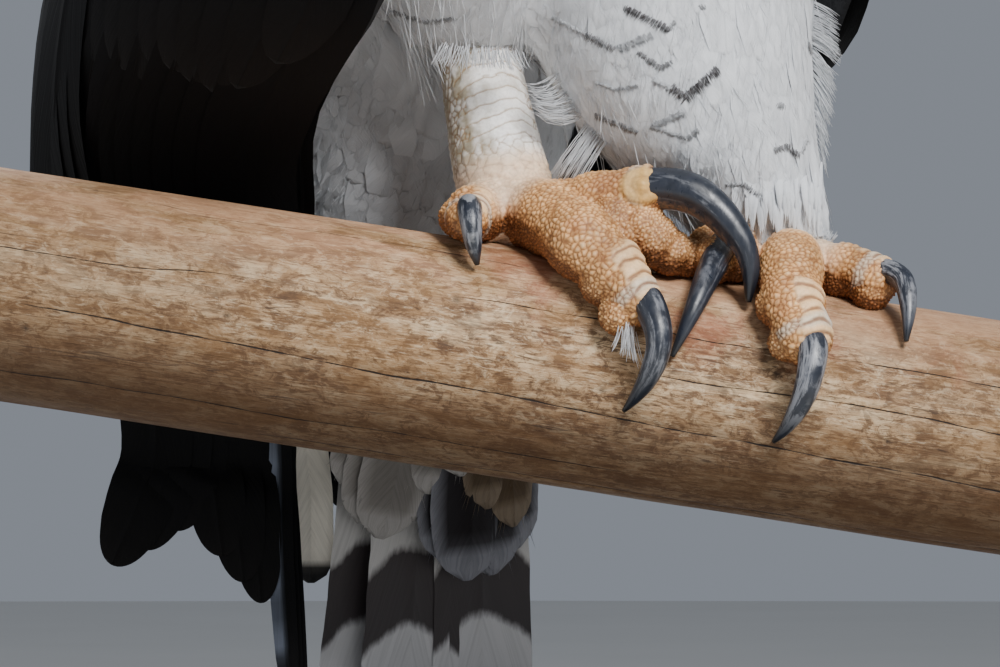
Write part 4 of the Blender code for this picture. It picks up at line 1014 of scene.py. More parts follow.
def build_body(finishes):
    """Skin, and the coats of trunk, thighs and head."""
    voxel = SKIN_VOXEL
    skin = remeshed("skin", envelope_shapes(), voxel, 8)
    points, normals, _ = read(skin)
    sunk = np.full(len(points), COAT_DEPTH)
    sunk = np.where(near_thigh(points) != 0, THIGH_COAT_DEPTH, sunk)
    sunk = np.where(np.linalg.norm(points - HEAD_SPOT, axis=1) < HEAD_SKIN_END, HEAD_COAT_DEPTH, sunk)
    put_points(skin, points - normals * sunk[:, None])
    points, normals, _ = read(skin)
    put_value(skin.data, "tint", body_tint(points, normals))
    piece(skin, finishes["skin"], "white_plumage", "torso", "neck", "head", "thigh_left", "thigh_right")
    surface = Surface(skin)
    draw = np.random.default_rng(5)
    build_trunk_coat(surface, finishes, draw)
    for side in ("right", "left"):
        build_thigh_coat(surface, side, finishes, draw)
    build_head_coat(surface, finishes, draw)
    build_crest(finishes, draw)
    return surface


def body_tint(points, normals):
    """White below, a black band across the breast, slate above, and a grey head."""
    up, _, side = region(points)
    rear = normals @ -FORWARD
    wander = layered_noise(points, 60, 3, 3) * 0.012
    back = smooth(0.02, 0.25, rear + wander * 6) * smooth(0.02, 0.10, up) * smooth(0.52, 0.47, up + wander)
    band = smooth(0.335, 0.350, up + wander + 0.05 * np.abs(side) / 0.1) * smooth(0.462, 0.448, up + wander)
    dark = np.maximum(back, band)[:, None]
    grey = smooth(0.448, 0.462, up + wander)[:, None]
    thigh = np.abs(near_thigh(points))[:, None]
    tint = blend(blend(linear(WHITE), linear(GREY), grey), linear(SLATE), dark)
    return blend(tint, linear(WHITE), thigh)


def small_feathers(coat, surface, roots, normals, flow, length, half, lift, draw, tint, flat,
                   barbs, barb_length, barb_width=0.00016, vary=0.15, jitter=0.12, camber=0.07,
                   settle=0.02, stand=0.05):
    """Short feathers, whose loose barbs soften their faces and edges."""
    n = len(roots)
    lengths = length * (1 + draw.normal(0, vary, n))
    paths, ups = surface.lay(roots, normals, flow, lengths, SMALL_ROWS, draw, jitter)
    lifts = np.outer(lift * draw.uniform(1 - vary * 0.7, 1 + vary * 0.7, n), SMALL_RISE) - 0.0004
    halves = np.outer(half * draw.uniform(0.85, 1.15, n), SMALL_SHAPE)
    seed = draw.random(n)
    coat.add(paths, ups, halves, lifts, tint, seed, flat, camber=camber, roll=draw.normal(0, 0.06, n))

    # Barbs: each starts between two rows of its feather, and splays out and up a little
    raised = paths + ups * lifts[..., None]
    tangents = unit(np.gradient(raised, axis=1))
    along = draw.uniform(0.12, 1.0, (n, barbs))
    i = np.clip(np.searchsorted(SMALL_ROWS, along) - 1, 0, len(SMALL_ROWS) - 2)
    share = (along - SMALL_ROWS[i]) / (SMALL_ROWS[i + 1] - SMALL_ROWS[i])
    each = np.arange(n)[:, None]

    def between(rows):
        return blend(rows[each, i], rows[each, i + 1], share[..., None] if rows.ndim == 3 else share)

    up, tangent = unit(between(ups)), unit(between(tangents))
    side = np.cross(tangent, up)
    across = draw.uniform(-0.95, 0.95, (n, barbs))
    wide = between(halves)
    start = between(raised) + side * (across * wide)[..., None]
    start = start + up * (wide * camber * (1 - across**2) + 0.0001)[..., None]
    splay = across * 0.42 + np.sign(across) * 0.10 + draw.normal(0, 0.08, (n, barbs))
    way = unit(tangent + side * splay[..., None] + up * draw.normal(settle, stand, (n, barbs, 1)))
    tip = start + way * (barb_length * draw.uniform(0.5, 1.4, (n, barbs)))[..., None]
    shade = np.asarray(tint)[:, None] * draw.uniform(0.90, 1.10, (n, barbs, 1))
    place = np.repeat(np.asarray(flat), barbs, 0)
    coat.spikes(start.reshape(-1, 3), tip.reshape(-1, 3), up.reshape(-1, 3), barb_width,
                shade.reshape(-1, 3), np.repeat(seed, barbs), place)


def trunk_zones(points, normals):
    """Where each coat of the trunk grows."""
    up = region(points)[0]
    head = np.linalg.norm(points - HEAD_SPOT, axis=1) < TRUNK_COAT_END
    body = (near_thigh(points) == 0) & ~head & (up > -0.03)
    low = up < NECK_FROM
    dark = body_tint(points, normals)[:, 1] <= DARK_SHADE
    front = normals @ FORWARD > 0
    return {
        "coat_belly": body & low & ~dark,
        "coat_breast": body & low & dark & front,
        "coat_mantle": body & low & dark & ~front,
        "coat_neck": body & ~low,
    }


def build_trunk_coat(surface, finishes, draw):
    """Belly, breast, mantle and neck, each a piece of its own."""
    for name, spacing, length, half, slot, barbs in (
        ("coat_belly", 0.0072, 0.036, 0.0092, "white_plumage", 24),
        ("coat_breast", 0.0072, 0.030, 0.0085, "slate_plumage", 16),
        ("coat_mantle", 0.0078, 0.034, 0.0095, "slate_plumage", 14),
        ("coat_neck", 0.0062, 0.024, 0.0062, "grey_plumage", 16),
    ):
        def keep(points, normals):
            return trunk_zones(points, normals)[name]

        roots, normals = surface.scatter(spacing, draw, keep)
        flat = bake_place(roots, bird(-0.05, 0, 0), 0.30, 0.90)
        tint = body_tint(roots, normals) * draw.uniform(0.90, 1.06, len(roots))[:, None]
        coat = Coat()
        small_feathers(coat, surface, roots, normals, trunk_flow, length, half, COAT_DEPTH * 0.6, draw, tint,
                       flat, barbs=barbs, barb_length=0.0100, barb_width=0.00013, vary=0.06, camber=0.06,
                       jitter=0.10, settle=-0.05, stand=0.035)
        piece(coat.made(name), finishes["white" if name == "coat_belly" else "soft"], slot)


# Bars on the thighs where the view shows them, in its 1000 by 667 frame: from, to, thickness, strength
BARS_SEEN = [
    (625, 9, 669, 31, 7, 1.0), (669, 31, 675, 22, 3, 0.4), (552, 18, 585, 35, 4, 0.35),
    (585, 35, 614, 50, 6, 0.8), (618, 50, 652, 36, 7, 0.3), (637, 53, 661, 69, 5, 0.85),
    (661, 69, 672, 62, 4, 0.7), (652, 80, 672, 90, 6, 0.3), (671, 88, 686, 100, 8, 1.0),
    (686, 99, 718, 70, 8, 1.0), (596, 83, 615, 90, 3, 0.4), (615, 90, 639, 86, 3, 0.5),
    (595, 116, 637, 133, 6, 0.75), (654, 126, 685, 113, 6, 0.3), (650, 127, 687, 139, 4, 0.6),
    (687, 139, 700, 130, 4, 0.5), (777, 105, 784, 107, 5, 0.6), (775, 151, 787, 147, 5, 0.8),
    (787, 147, 799, 157, 6, 0.95), (802, 152, 807, 140, 4, 0.35), (726, 185, 743, 185, 3, 0.6),
    (743, 185, 758, 195, 4, 0.7), (700, 8, 705, 7, 4, 0.5), (392, 12, 425, 23, 5, 0.7),
    (425, 23, 455, 19, 4, 0.6), (365, 31, 386, 36, 4, 0.4),
]
# Loose strands in the same frame: leg, roots from and to, tips from and to, their depths, sag, count
STRANDS_SEEN = [
    ("left", (562, 62), (592, 112), (527, 84), (536, 112), -0.048, -0.066, 11, 60),
    ("left", (598, 112), (626, 118), (552, 176), (580, 187), -0.048, -0.066, -4, 60),
    ("left", (800, 0), (806, 44), (836, 16), (840, 66), -0.022, -0.022, -3, 90),
    ("left", (806, 44), (815, 88), (834, 74), (832, 122), -0.022, -0.022, -2, 70),
    ("left", (814, 88), (818, 150), (828, 116), (827, 178), -0.022, -0.022, -1, 50),
    ("left", (800, 236), (822, 246), (818, 228), (838, 236), -0.050, -0.054, 4, 50),
    ("right", (440, 44), (520, 52), (428, 66), (532, 70), -0.070, -0.074, 2, 90),
    ("right", (622, 318), (634, 330), (612, 350), (642, 366), -0.112, -0.116, 3, 34),
]
# Long feathers over the left ankle: where they hang across the view, and the coat's depth at places there
ANKLE_FEATHERS = np.linspace(750, 822, 40)
ANKLE_ACROSS = (740, 760, 780, 800, 815, 830)
ANKLE_DEPTH = (-0.0704, -0.0704, -0.0691, -0.0644, -0.0578, -0.0500)
EYE_SPOT = np.array([0.0, POLE_Y - VIEW_DISTANCE, VIEW_HEIGHT])


def seen_at(across, down, y):
    """The point behind a place in the view's frame, at a depth."""
    reach = (y - EYE_SPOT[1]) / VIEW_DISTANCE * VIEW_WIDTH / VIEW_PIXELS
    across, down, y, reach = np.broadcast_arrays(
        np.asarray(across, float), np.asarray(down, float), np.asarray(y, float), reach)
    rise = VIEW_HEIGHT + (VIEW_MIDDLE[1] - down) * reach
    return np.stack([(across - VIEW_MIDDLE[0]) * reach, y, rise], -1)


def build_thigh_coat(surface, side, finishes, draw):
    """Long soft white feathers, with thin dark bars, loose barbs and hanging strands."""
    def keep(points, normals):
        return near_thigh(points) == (1 if side == "right" else -1)

    roots, normals = surface.scatter(0.0064, draw, keep)
    rows = np.asarray(THIGHS[side], float)
    flat = bake_place(roots, FEET + rows[:, :3].mean(0), 0.33, 0.60)
    tint = linear(WHITE) * draw.uniform(0.96, 1.04, len(roots))[:, None]
    low = FEET[2] + rows[-1, 2]
    length = 0.025 + 0.023 * smooth(0.0, 0.07, roots[:, 2] - low)
    flow = thigh_flow(side)
    coat = Coat()
    small_feathers(coat, surface, roots, normals, flow, length, 0.0090, 0.0030, draw, tint, flat,
                   barbs=30, barb_length=0.0130, barb_width=0.00012, vary=0.06, camber=0.10, jitter=0.05,
                   settle=-0.07, stand=0.03)
    tree = coat.tree()
    piece(coat.made("coat_thigh_" + side), finishes["white"], "white_plumage")

    loose = Coat()
    bars(loose, tree, roots, normals, flow, side, draw, flat)
    strands(loose, side, draw, flat)
    piece(loose.made("coat_loose_" + side), finishes["white"], "white_plumage")


BAR_BARB_LENGTH = 0.00036  # for each pixel that a bar is thick
BAR_BARBS = 3.6  # for each pixel that a bar is long
BARS_HIDDEN = 46  # pairs, on the parts of a thigh that the view doesn't show
BARB_SPACING = 0.00011
LEAN = 0.65  # of a bar's barbs, to the side that the bar rises to


def bars(coat, tree, roots, normals, flow, side, draw, flat):
    """Dark bars, each a row of short barbs laid on the vanes."""
    spots, ways, sizes, strengths = [], [], [], []
    for x0, y0, x1, y1, thick, strength in BARS_SEEN:
        if (x0 < VIEW_MIDDLE[0]) != (side == "right"):
            continue
        count = int(math.hypot(x1 - x0, y1 - y0) * BAR_BARBS) + 4
        share = draw.random(count)
        jitter = draw.normal(0, 0.7, (2, count))
        aims = seen_at(x0 + (x1 - x0) * share + jitter[0], y0 + (y1 - y0) * share + jitter[1], -0.2)
        lean = LEAN if y1 < y0 else -LEAN
        for aim in aims:
            spot, up, _, _ = tree.ray_cast(Vector(EYE_SPOT), Vector(aim - EYE_SPOT))
            if spot is None:
                continue
            up = np.array(up) * (1 if up.y < 0 else -1)
            spots.append((np.array(spot), up))
            ways.append(np.array([lean, 0.0, -1.0]))
            sizes.append(thick * BAR_BARB_LENGTH * draw.uniform(0.55, 1.25))
            strengths.append(strength)
    hidden = roots[(normals @ TOWARDS < 0.15) | (roots[:, 2] > 0.44)]
    for apex in hidden[draw.permutation(len(hidden))[:BARS_HIDDEN]]:
        out = unit(flow(apex[None], UP[None])[0])
        for lean in (-1, 1):
            reach = draw.uniform(0.006, 0.011)
            thick = draw.uniform(0.0012, 0.0028)
            normal = unit(apex - (FEET + np.array([0.0, 0.03, 0.0]) + UP * (apex[2] - FEET[2])))
            across = unit(np.cross(out, normal)) * lean
            for share in draw.random(int(reach / BARB_SPACING)):
                near = apex + across * reach * share - out * reach * share * 0.55
                spot, up, _, _ = tree.find_nearest(Vector(near + normal * 0.003))
                up = np.array(up)
                spots.append((np.array(spot), up * np.sign(np.dot(up, normal))))
                ways.append(out + across * LEAN)
                sizes.append(thick * draw.uniform(0.55, 1.25))
                strengths.append(0.85)
    points, ups = (np.array(part) for part in zip(*spots))
    ways, sizes = unit(ways), np.array(sizes)[:, None]
    ways = unit(ways - ups * np.sum(ways * ups, -1, keepdims=True) + draw.normal(0, 0.06, ways.shape))
    shade = np.array(strengths)[:, None] * draw.uniform(0.75, 1.05, (len(points), 1))
    tint = blend(linear(WHITE), linear(BAR), shade)
    points = points + ups * 0.0002
    coat.spikes(points - ways * sizes * 0.6, points + ways * sizes * 0.9, ups, 0.00021, tint,
                draw.random(len(points)), flat[draw.integers(0, len(flat), len(points))])


STRANDS_ROUND = 520  # round each thigh
STRAND_HALVES = np.array([0.00019, 0.00018, 0.00016, 0.00012, 0.00004])  # half widths, root to tip


def strands(coat, side, draw, flat):
    """Long curved single barbs that hang past the thigh's edges."""
    rows = np.asarray(THIGHS[side], float)
    count = STRANDS_ROUND
    turn = draw.uniform(0, 2 * math.pi, count)
    level = draw.uniform(0.30, 0.99, count)
    at = rows_along(rows, level)
    out = np.column_stack([np.cos(turn), np.sin(turn), np.zeros(count)])
    starts = FEET + at[:, :3] + out * (at[:, 3:5].mean(1) - 0.0035)[:, None]
    reach = draw.uniform(0.010, 0.026, count)
    steps = np.linspace(0, 1, len(STRAND_HALVES))[:, None]
    inward = unit(FEET + rows[-1, :3] - UP * 0.012 - starts)
    way = unit(inward * 0.75 - UP * 0.5 + out * 0.30 + draw.normal(0, 0.14, (count, 3)))
    curl = draw.normal(0, 0.18, (count, 3)) - UP * 0.25 - out * 0.25
    bend = way[:, None] * steps + curl[:, None] * steps**2 * 0.5
    paths = [starts[:, None] + bend * reach[:, None, None]]
    ups = [np.repeat(out[:, None], len(steps), 1)]
    for leg, root_a, root_b, tip_a, tip_b, root_depth, tip_depth, sag, number in STRANDS_SEEN:
        if leg != side:
            continue
        share = np.sort(draw.random(number))
        ends = []
        for a, b, y in ((root_a, root_b, root_depth), (tip_a, tip_b, tip_depth)):
            place = np.array(a) + (np.array(b) - np.array(a)) * share[:, None]
            place = place + draw.normal(0, 2.0, (number, 2))
            ends.append(seen_at(place[:, 0], place[:, 1], y + draw.normal(0, 0.002, number))[:, None])
        dip = (steps * (1 - steps) * 4)[None, :, 0] * sag * PIXEL * draw.uniform(0.5, 1.4, (number, 1))
        paths.append(blend(ends[0], ends[1], steps) - UP * dip[..., None])
        ups.append(np.broadcast_to(TOWARDS, paths[-1].shape))
    paths, ups = np.concatenate(paths), np.concatenate(ups)
    n = len(paths)
    tint = linear(WHITE) * draw.uniform(0.85, 1.05, n)[:, None]
    coat.add(paths, ups, STRAND_HALVES, 0.0, tint, draw.random(n), flat[draw.integers(0, len(flat), n)],
             thick=0.0002)
    if side == "left":
        ankle_feathers(coat, draw, flat)


def ankle_feathers(coat, draw, flat):
    """Long narrow feathers that hang over the left ankle."""
    rows = np.linspace(0, 1, 12)
    shape = np.interp(rows, [0, 0.3, 0.6, 0.85, 1], [0.5, 1, 0.85, 0.45, 0.05])
    for across in ANKLE_FEATHERS:
        across = across + draw.normal(0, 2.0)
        down = draw.uniform(150, 172) + (230 + draw.normal(0, 4) - 161) * rows
        depth = np.interp(across, ANKLE_ACROSS, ANKLE_DEPTH) + 0.010 - 0.0145 * smooth(0, 0.7, rows)
        path = seen_at(across + draw.normal(0, 3) * rows, down, depth)
        half = draw.uniform(0.0008, 0.0019)
        coat.one(path, TOWARDS, half * shape, linear(WHITE) * draw.uniform(0.85, 1.0), draw, flat[:1],
                 section=SMALL, camber=0.25, thick=0.0002)


def lip_line(surface, sign):
    """The line of the mouth on one side, on the skin."""
    points, normals = surface.nearest(head_line(LIP, sign, 24)[0])
    return points + normals * 0.0002


def build_head_coat(surface, finishes, draw):
    """Short grey feathers, and a darker ruff round the face."""
    lips = np.concatenate([lip_line(surface, sign) for sign in (1, -1)])
    eyes = [eye_centre(sign) for sign in (1, -1)]

    def keep(points, normals):
        local = points - HEAD_SPOT
        near = np.linalg.norm(local, axis=1) < HEAD_COAT_END
        from_bill = np.hypot(local @ ASIDE / BILL_BASE[1], (local @ ABOVE) / BILL_BASE[2])
        bill = (local @ AHEAD > BILL_BASE[0]) & (from_bill < 1)
        eye = np.min([np.linalg.norm(points - spot, axis=1) for spot in eyes], 0) < BARE_ROUND_EYE
        mouth = np.min([np.linalg.norm(points - spot, axis=1) for spot in lips], 0) < BARE_ROUND_MOUTH
        return near & ~bill & ~eye & ~mouth

    roots, normals = surface.scatter(0.0034, draw, keep)
    ahead = (roots - HEAD_SPOT) @ AHEAD
    rise = (roots - HEAD_SPOT) @ ABOVE
    face = smooth(0.0, 0.035, ahead)
    flat = bake_place(roots, *HEAD_BAKE)
    pale = blend(linear(GREY), linear((176, 177, 181)), face[:, None])
    crown = smooth(0.02, 0.05, rise)[:, None] * (1 - face[:, None])
    pale = blend(pale, linear(DARK_GREY), 0.5 * crown)
    tint = pale * draw.uniform(0.88, 1.06, len(roots))[:, None]
    small = np.abs(normals @ ASIDE) * smooth(0.028, 0.040, ahead)
    coat = Coat()
    small_feathers(coat, surface, roots, normals, head_flow, 0.019 - 0.007 * face - 0.002 * small,
                   0.0038 - 0.0023 * face, 0.0024 - 0.0014 * face, draw, tint, flat, barbs=9,
                   barb_length=0.0060, barb_width=0.00010, vary=0.05, camber=0.04, settle=-0.04, stand=0.05)
    piece(coat.made("coat_head"), finishes["soft"], "grey_plumage")
    coat = Coat()
    ruff = np.flatnonzero((ahead > -0.022) & (ahead < 0.004) & (rise < 0.030))[::3]
    shade = linear((108, 109, 114)) * draw.uniform(0.8, 1.1, len(ruff))[:, None]
    small_feathers(coat, surface, roots[ruff], normals[ruff], head_flow, 0.030, 0.0060, 0.0085, draw, shade,
                   flat[ruff], barbs=18, barb_length=0.0050, barb_width=0.00012, camber=0.12)
    piece(coat.made("coat_ruff"), finishes["soft"], "grey_plumage")


def build_crest(finishes, draw):
    """The two-pointed crest, in bundles of feathers."""
    crest = Coat()
    rows = np.linspace(0, 1, 16)
    shape = np.interp(rows, [0, 0.2, 0.5, 0.8, 0.93, 1], [0.35, 0.75, 0.95, 1.0, 0.72, 0.08])
    fade = smooth(0.20, 0.70, rows)[:, None]
    tint = blend(linear((98, 99, 104)), linear((34, 35, 39)), fade)
    for sign in (1, -1):
        for i, (forward, side, up, length, lean, splay) in enumerate(CREST):
            for extra in range(5):
                shift = (extra - 2) * 0.0030
                back = forward - abs(shift) * 1.5 + draw.normal(0, 0.002)
                start = head_point(back, side * sign + shift, up - 0.005)
                bend = math.radians(lean + 5 * extra - 6 + draw.normal(0, 4)) + 0.45 * rows[:, None]
                out = math.radians(splay + draw.normal(0, 5)) * (1 + 0.25 * (extra - 2))
                sideways = ASIDE * sign * math.sin(out) * 0.8
                way = unit(-AHEAD * np.sin(bend) + ABOVE * np.cos(bend) + sideways)
                path = start + way * rows[:, None] * (length * (1.0 - 0.09 * extra))
                across = ASIDE * math.cos(out) - ABOVE * math.sin(out) * sign * 0.4
                normal = np.cross(np.gradient(path, axis=0), across)
                normal = unit(normal * np.sign(normal @ AHEAD)[:, None])
                half = 0.0088 * shape * (1 + 0.10 * layered_noise(path * 3, 300, 3, i + 7 * extra))
                crest.one(path, normal, half, tint * draw.uniform(0.8, 1.15), draw,
                          bake_place(start[None], *HEAD_BAKE), camber=0.14, thick=0.0004)
    piece(crest.made("crest"), finishes["flight"], "slate_plumage")


def wing_point(side, t, v, lift=0.0):
    """Points of the folded wing's outer surface."""
    t, v = np.broadcast_arrays(np.asarray(t, float), np.asarray(v, float))
    front, rear = curve_at(WING_FRONT, t), curve_at(WING_REAR[side], t)
    swell = curve_at(WING_BODY, t)[..., 0]
    if side == "left":
        tuck = (smooth(0.0, 0.55, t) * (1 - 0.75 * np.exp(-(((t - 0.60) / 0.06) ** 2))))[..., None]
        front = front + np.array([*LEFT_WING_TUCK, 0.0]) * tuck
    place = front * (1 - v[..., None]) + rear * v[..., None]
    sideways = place[..., 1] + swell * 4 * v * (1 - v) + lift
    return bird(place[..., 0], sideways if side == "right" else -sideways, place[..., 2])


def wing_normal(side, t, v):
    outward = RIGHTWARD if side == "right" else -RIGHTWARD
    along = wing_point(side, t + 0.01, v) - wing_point(side, t - 0.01, v)
    across = wing_point(side, t, v + 0.01) - wing_point(side, t, v - 0.01)
    normal = unit(np.cross(along, across))
    return normal * np.sign(np.sum(normal * outward, -1, keepdims=True))


def build_wing(side, finishes, draw):
    """The wing's body, its pale lining, and its feathers in overlapping tiers."""
    across = np.array((0.0, 0.12, 0.35, 0.6, 0.85, 1.0))
    rings = []
    for t in np.linspace(0, 0.66, 16):
        thickness = curve_at(WING_BODY, t)[1]
        here = np.full(len(across), t)
        edge = 0.30 + 0.70 * 4 * across * (1 - across)
        outer = wing_point(side, here, across, -WING_COAT_DEPTH)
        inner = wing_point(side, here, across, -WING_COAT_DEPTH - thickness * edge)[::-1]
        section = np.concatenate([outer, inner])
        rings.append(section if side == "right" else section[::-1])

    # The skin inside, and the pale feathers that line it
    core = new_mesh("wing_skin_" + side, np.concatenate(rings), loft_faces(len(rings), 2 * len(across)))
    put_value(core.data, "tint", np.tile(linear(SLATE) * 0.7, (len(core.data.vertices), 1)))
    piece(core, finishes["skin"], "slate_plumage")

    inner = Surface(core)
    away = RIGHTWARD if side == "right" else -RIGHTWARD
    edges = np.array(WING_FRONT)[::-1]
    tuck = 0.04 if side == "left" else 0.0

    def keep(points, normals):
        up, forward, _ = region(points)
        behind = np.interp(up, edges[:, 3], edges[:, 1]) - forward
        inside = (behind > 0.034 + tuck) & (behind < 0.095 + tuck)
        return (normals @ away < -0.2) & (up > 0.09) & inside

    roots, normals = inner.scatter(0.0100, draw, keep)
    band = np.sin(region(roots)[0] * 260 + layered_noise(roots, 40, 2, 3) * 3) > 0.25
    tint = np.where(band[:, None], linear((44, 44, 48)), linear((150, 150, 152)))
    tint = tint * draw.uniform(0.85, 1.05, len(roots))[:, None]
    lining = Coat()
    small_feathers(lining, inner, roots, normals, trunk_flow, 0.030, 0.0100, 0.0028, draw, tint,
                   bake_place(roots, bird(-0.05, 0, 0), 0.1, 0.9), barbs=8, barb_length=0.007)
    piece(lining.made("wing_lining_" + side), finishes["soft"], "white_plumage")

    coat = Coat()
    if side == "right":
        hanging_tips(coat, draw)
    else:
        tips = np.array(PRIMARY_TIPS)
        count = len(tips)
        # The left wing's primaries carry a painted highlight streak
        wing_set(coat, side, np.full(count, 0.58), 0.08 + 0.58 * np.linspace(0, 1, count), tips[:, 0],
                 tips[:, 1], 0.034, -0.0175 + 0.0018 * np.arange(count), draw, 30, painted_sheen=0.5)
    for count, root_t, root_v, tip_t, tip_v, width, height, step in WING_TIERS:
        share = np.linspace(0, 1, count)
        root_t = root_t + draw.normal(0, 0.004, count)
        root_v, tip_t, tip_v = (low + (high - low) * share for low, high in (root_v, tip_t, tip_v))
        wing_set(coat, side, root_t, root_v, tip_t + draw.normal(0, 0.006, count),
                 tip_v + draw.normal(0, 0.004, count), width, height + step * np.arange(count), draw, 28)
    for row, (tip_t, length, count, width) in enumerate(COVERT_ROWS):
        v = 0.03 + 0.80 * ((np.arange(count) + (0.25 if row % 2 else 0.75)) / count)
        wing_set(coat, side, np.maximum(tip_t - length + draw.normal(0, 0.004, count), 0.002), v,
                 tip_t + draw.normal(0, 0.006, count), v + draw.normal(0, 0.006, count), width,
                 0.0030 + 0.00035 * row + draw.normal(0, 0.0002, count), draw, 16)
    piece(coat.made("wing_feathers_" + side), finishes["flight"], "slate_plumage", "wing_" + side)


def wing_set(coat, side, root_t, root_v, tip_t, tip_v, width, height, draw, count, painted_sheen=0.0):
    """Feathers of one tier, each from its root to its tip over the wing."""
    rows = tip_rows(count)
    t = root_t[:, None] + (tip_t - root_t)[:, None] * rows
    v = root_v[:, None] + (tip_v - root_v)[:, None] * rows
    settled = height[:, None]
    low = np.minimum(ROOT_LIFT, settled)
    lift = low + (settled - low) * smooth(0, 0.4, rows)
    paths = wing_point(side, t, v, lift)
    normals = wing_normal(side, np.clip(t, 0.012, 0.985), v)
    flat = np.column_stack([0.05 + 0.9 * v.mean(1), 0.05 + 0.9 * root_t])
    wing_vanes(coat, side, paths, normals, width, draw, flat, painted_sheen)


def tip_rows(count):
    """Places along a feather, closer together towards its tip."""
    return 1 - (1 - np.linspace(0, 1, count)) ** 1.7


# Hanging tips: how deep the view sees them, how that changes across, and from one to the next,
# how far they lie off the wing at their roots, and where they face
TIP_DEPTH = 0.0285
TIP_SLANT = -0.351
TIP_LAYER = 0.0013
TIP_LIFT = (-0.0130, 0.0011)
TIP_FACING = (-0.33, -0.94, 0.0)


def hanging_tips(coat, draw):
    """Feathers of the right wing that show below the pole, front to rear, each over the one before."""
    rows = tip_rows(34)
    tips = NARROW_TIPS + TIPS_SEEN
    for i, (v, places, width) in enumerate(tips):
        lift = TIP_LIFT[0] + TIP_LIFT[1] * i
        spots = [wing_point("right", t, v, lift) for t in (0.56, 0.64, 0.72)]
        for across, down in places:
            flat_x = (across - VIEW_MIDDLE[0]) * VIEW_WIDTH / VIEW_PIXELS
            depth = TIP_DEPTH + TIP_SLANT * (flat_x + 0.152) + TIP_LAYER * (len(tips) - i)
            spots.append(seen_at(across, down, depth))
        path = rows_along(np.array(spots).reshape(-1, 3), rows)
        normal = np.broadcast_to(unit(TIP_FACING), path.shape)
        # The narrow primaries carry the painted highlight streak
        painted_sheen = 0.75 if i < len(NARROW_TIPS) else 0.0
        wing_vanes(coat, "right", path[None], normal[None], width, draw, [(0.1 + 0.8 * v, 0.6)], painted_sheen)


def wing_vanes(coat, side, paths, normals, width, draw, flat, painted_sheen):
    """Stiff feathers along paths, near black, with a paler streak painted on as a highlight where their
    gloss catches the light.
    """
    n, count = paths.shape[:2]
    rows = tip_rows(count)
    shape = np.interp(rows, [0, 0.10, 0.35, 1], [0.42, 0.80, 1, 1]) * np.sqrt(1.004 - rows**9)
    halves = width / 2 * shape * (1 + 0.04 * layered_noise(paths, 160, 3, 2))
    edge = (rows**8)[None, :, None, None]
    base = linear(WING_BLACK) * draw.uniform(0.75, 1.35, n)[:, None]
    tint = base[:, None, None] * (1 - edge * 0.4) + linear((44, 41, 40)) * edge * 0.25
    tint = np.broadcast_to(tint, (n, count, len(LARGE), 3))
    # A painted highlight: a paler blue-grey streak in broken stretches along one edge of each feather's
    # outer half
    streak = smooth(-0.25, 0.10, layered_noise(paths * np.array([4, 4, 1]), 34, 3, 12))[..., None]
    streak = streak * smooth(0.0, 0.5, LARGE[:, 0] + 0.2)
    streak = (streak * painted_sheen * smooth(0.45, 0.55, rows)[:, None])[..., None]
    tint = blend(tint, linear((128, 136, 152)), streak)
    coat.add(paths, normals, halves, 0.0, tint, draw.random(n), flat, section=LARGE, camber=0.05,
             thick=0.00042, roll=0.07 if side == "right" else -0.07)


def tail_point(side, k, layer):
    """Points on the tail, at a share of its length and so far behind its middle layer."""
    forward = TAIL_ROOT[0] + (TAIL_TIP[0] - TAIL_ROOT[0]) * k
    up = TAIL_ROOT[1] + (TAIL_TIP[1] - TAIL_ROOT[1]) * k
    return bird(forward - layer, side, up)


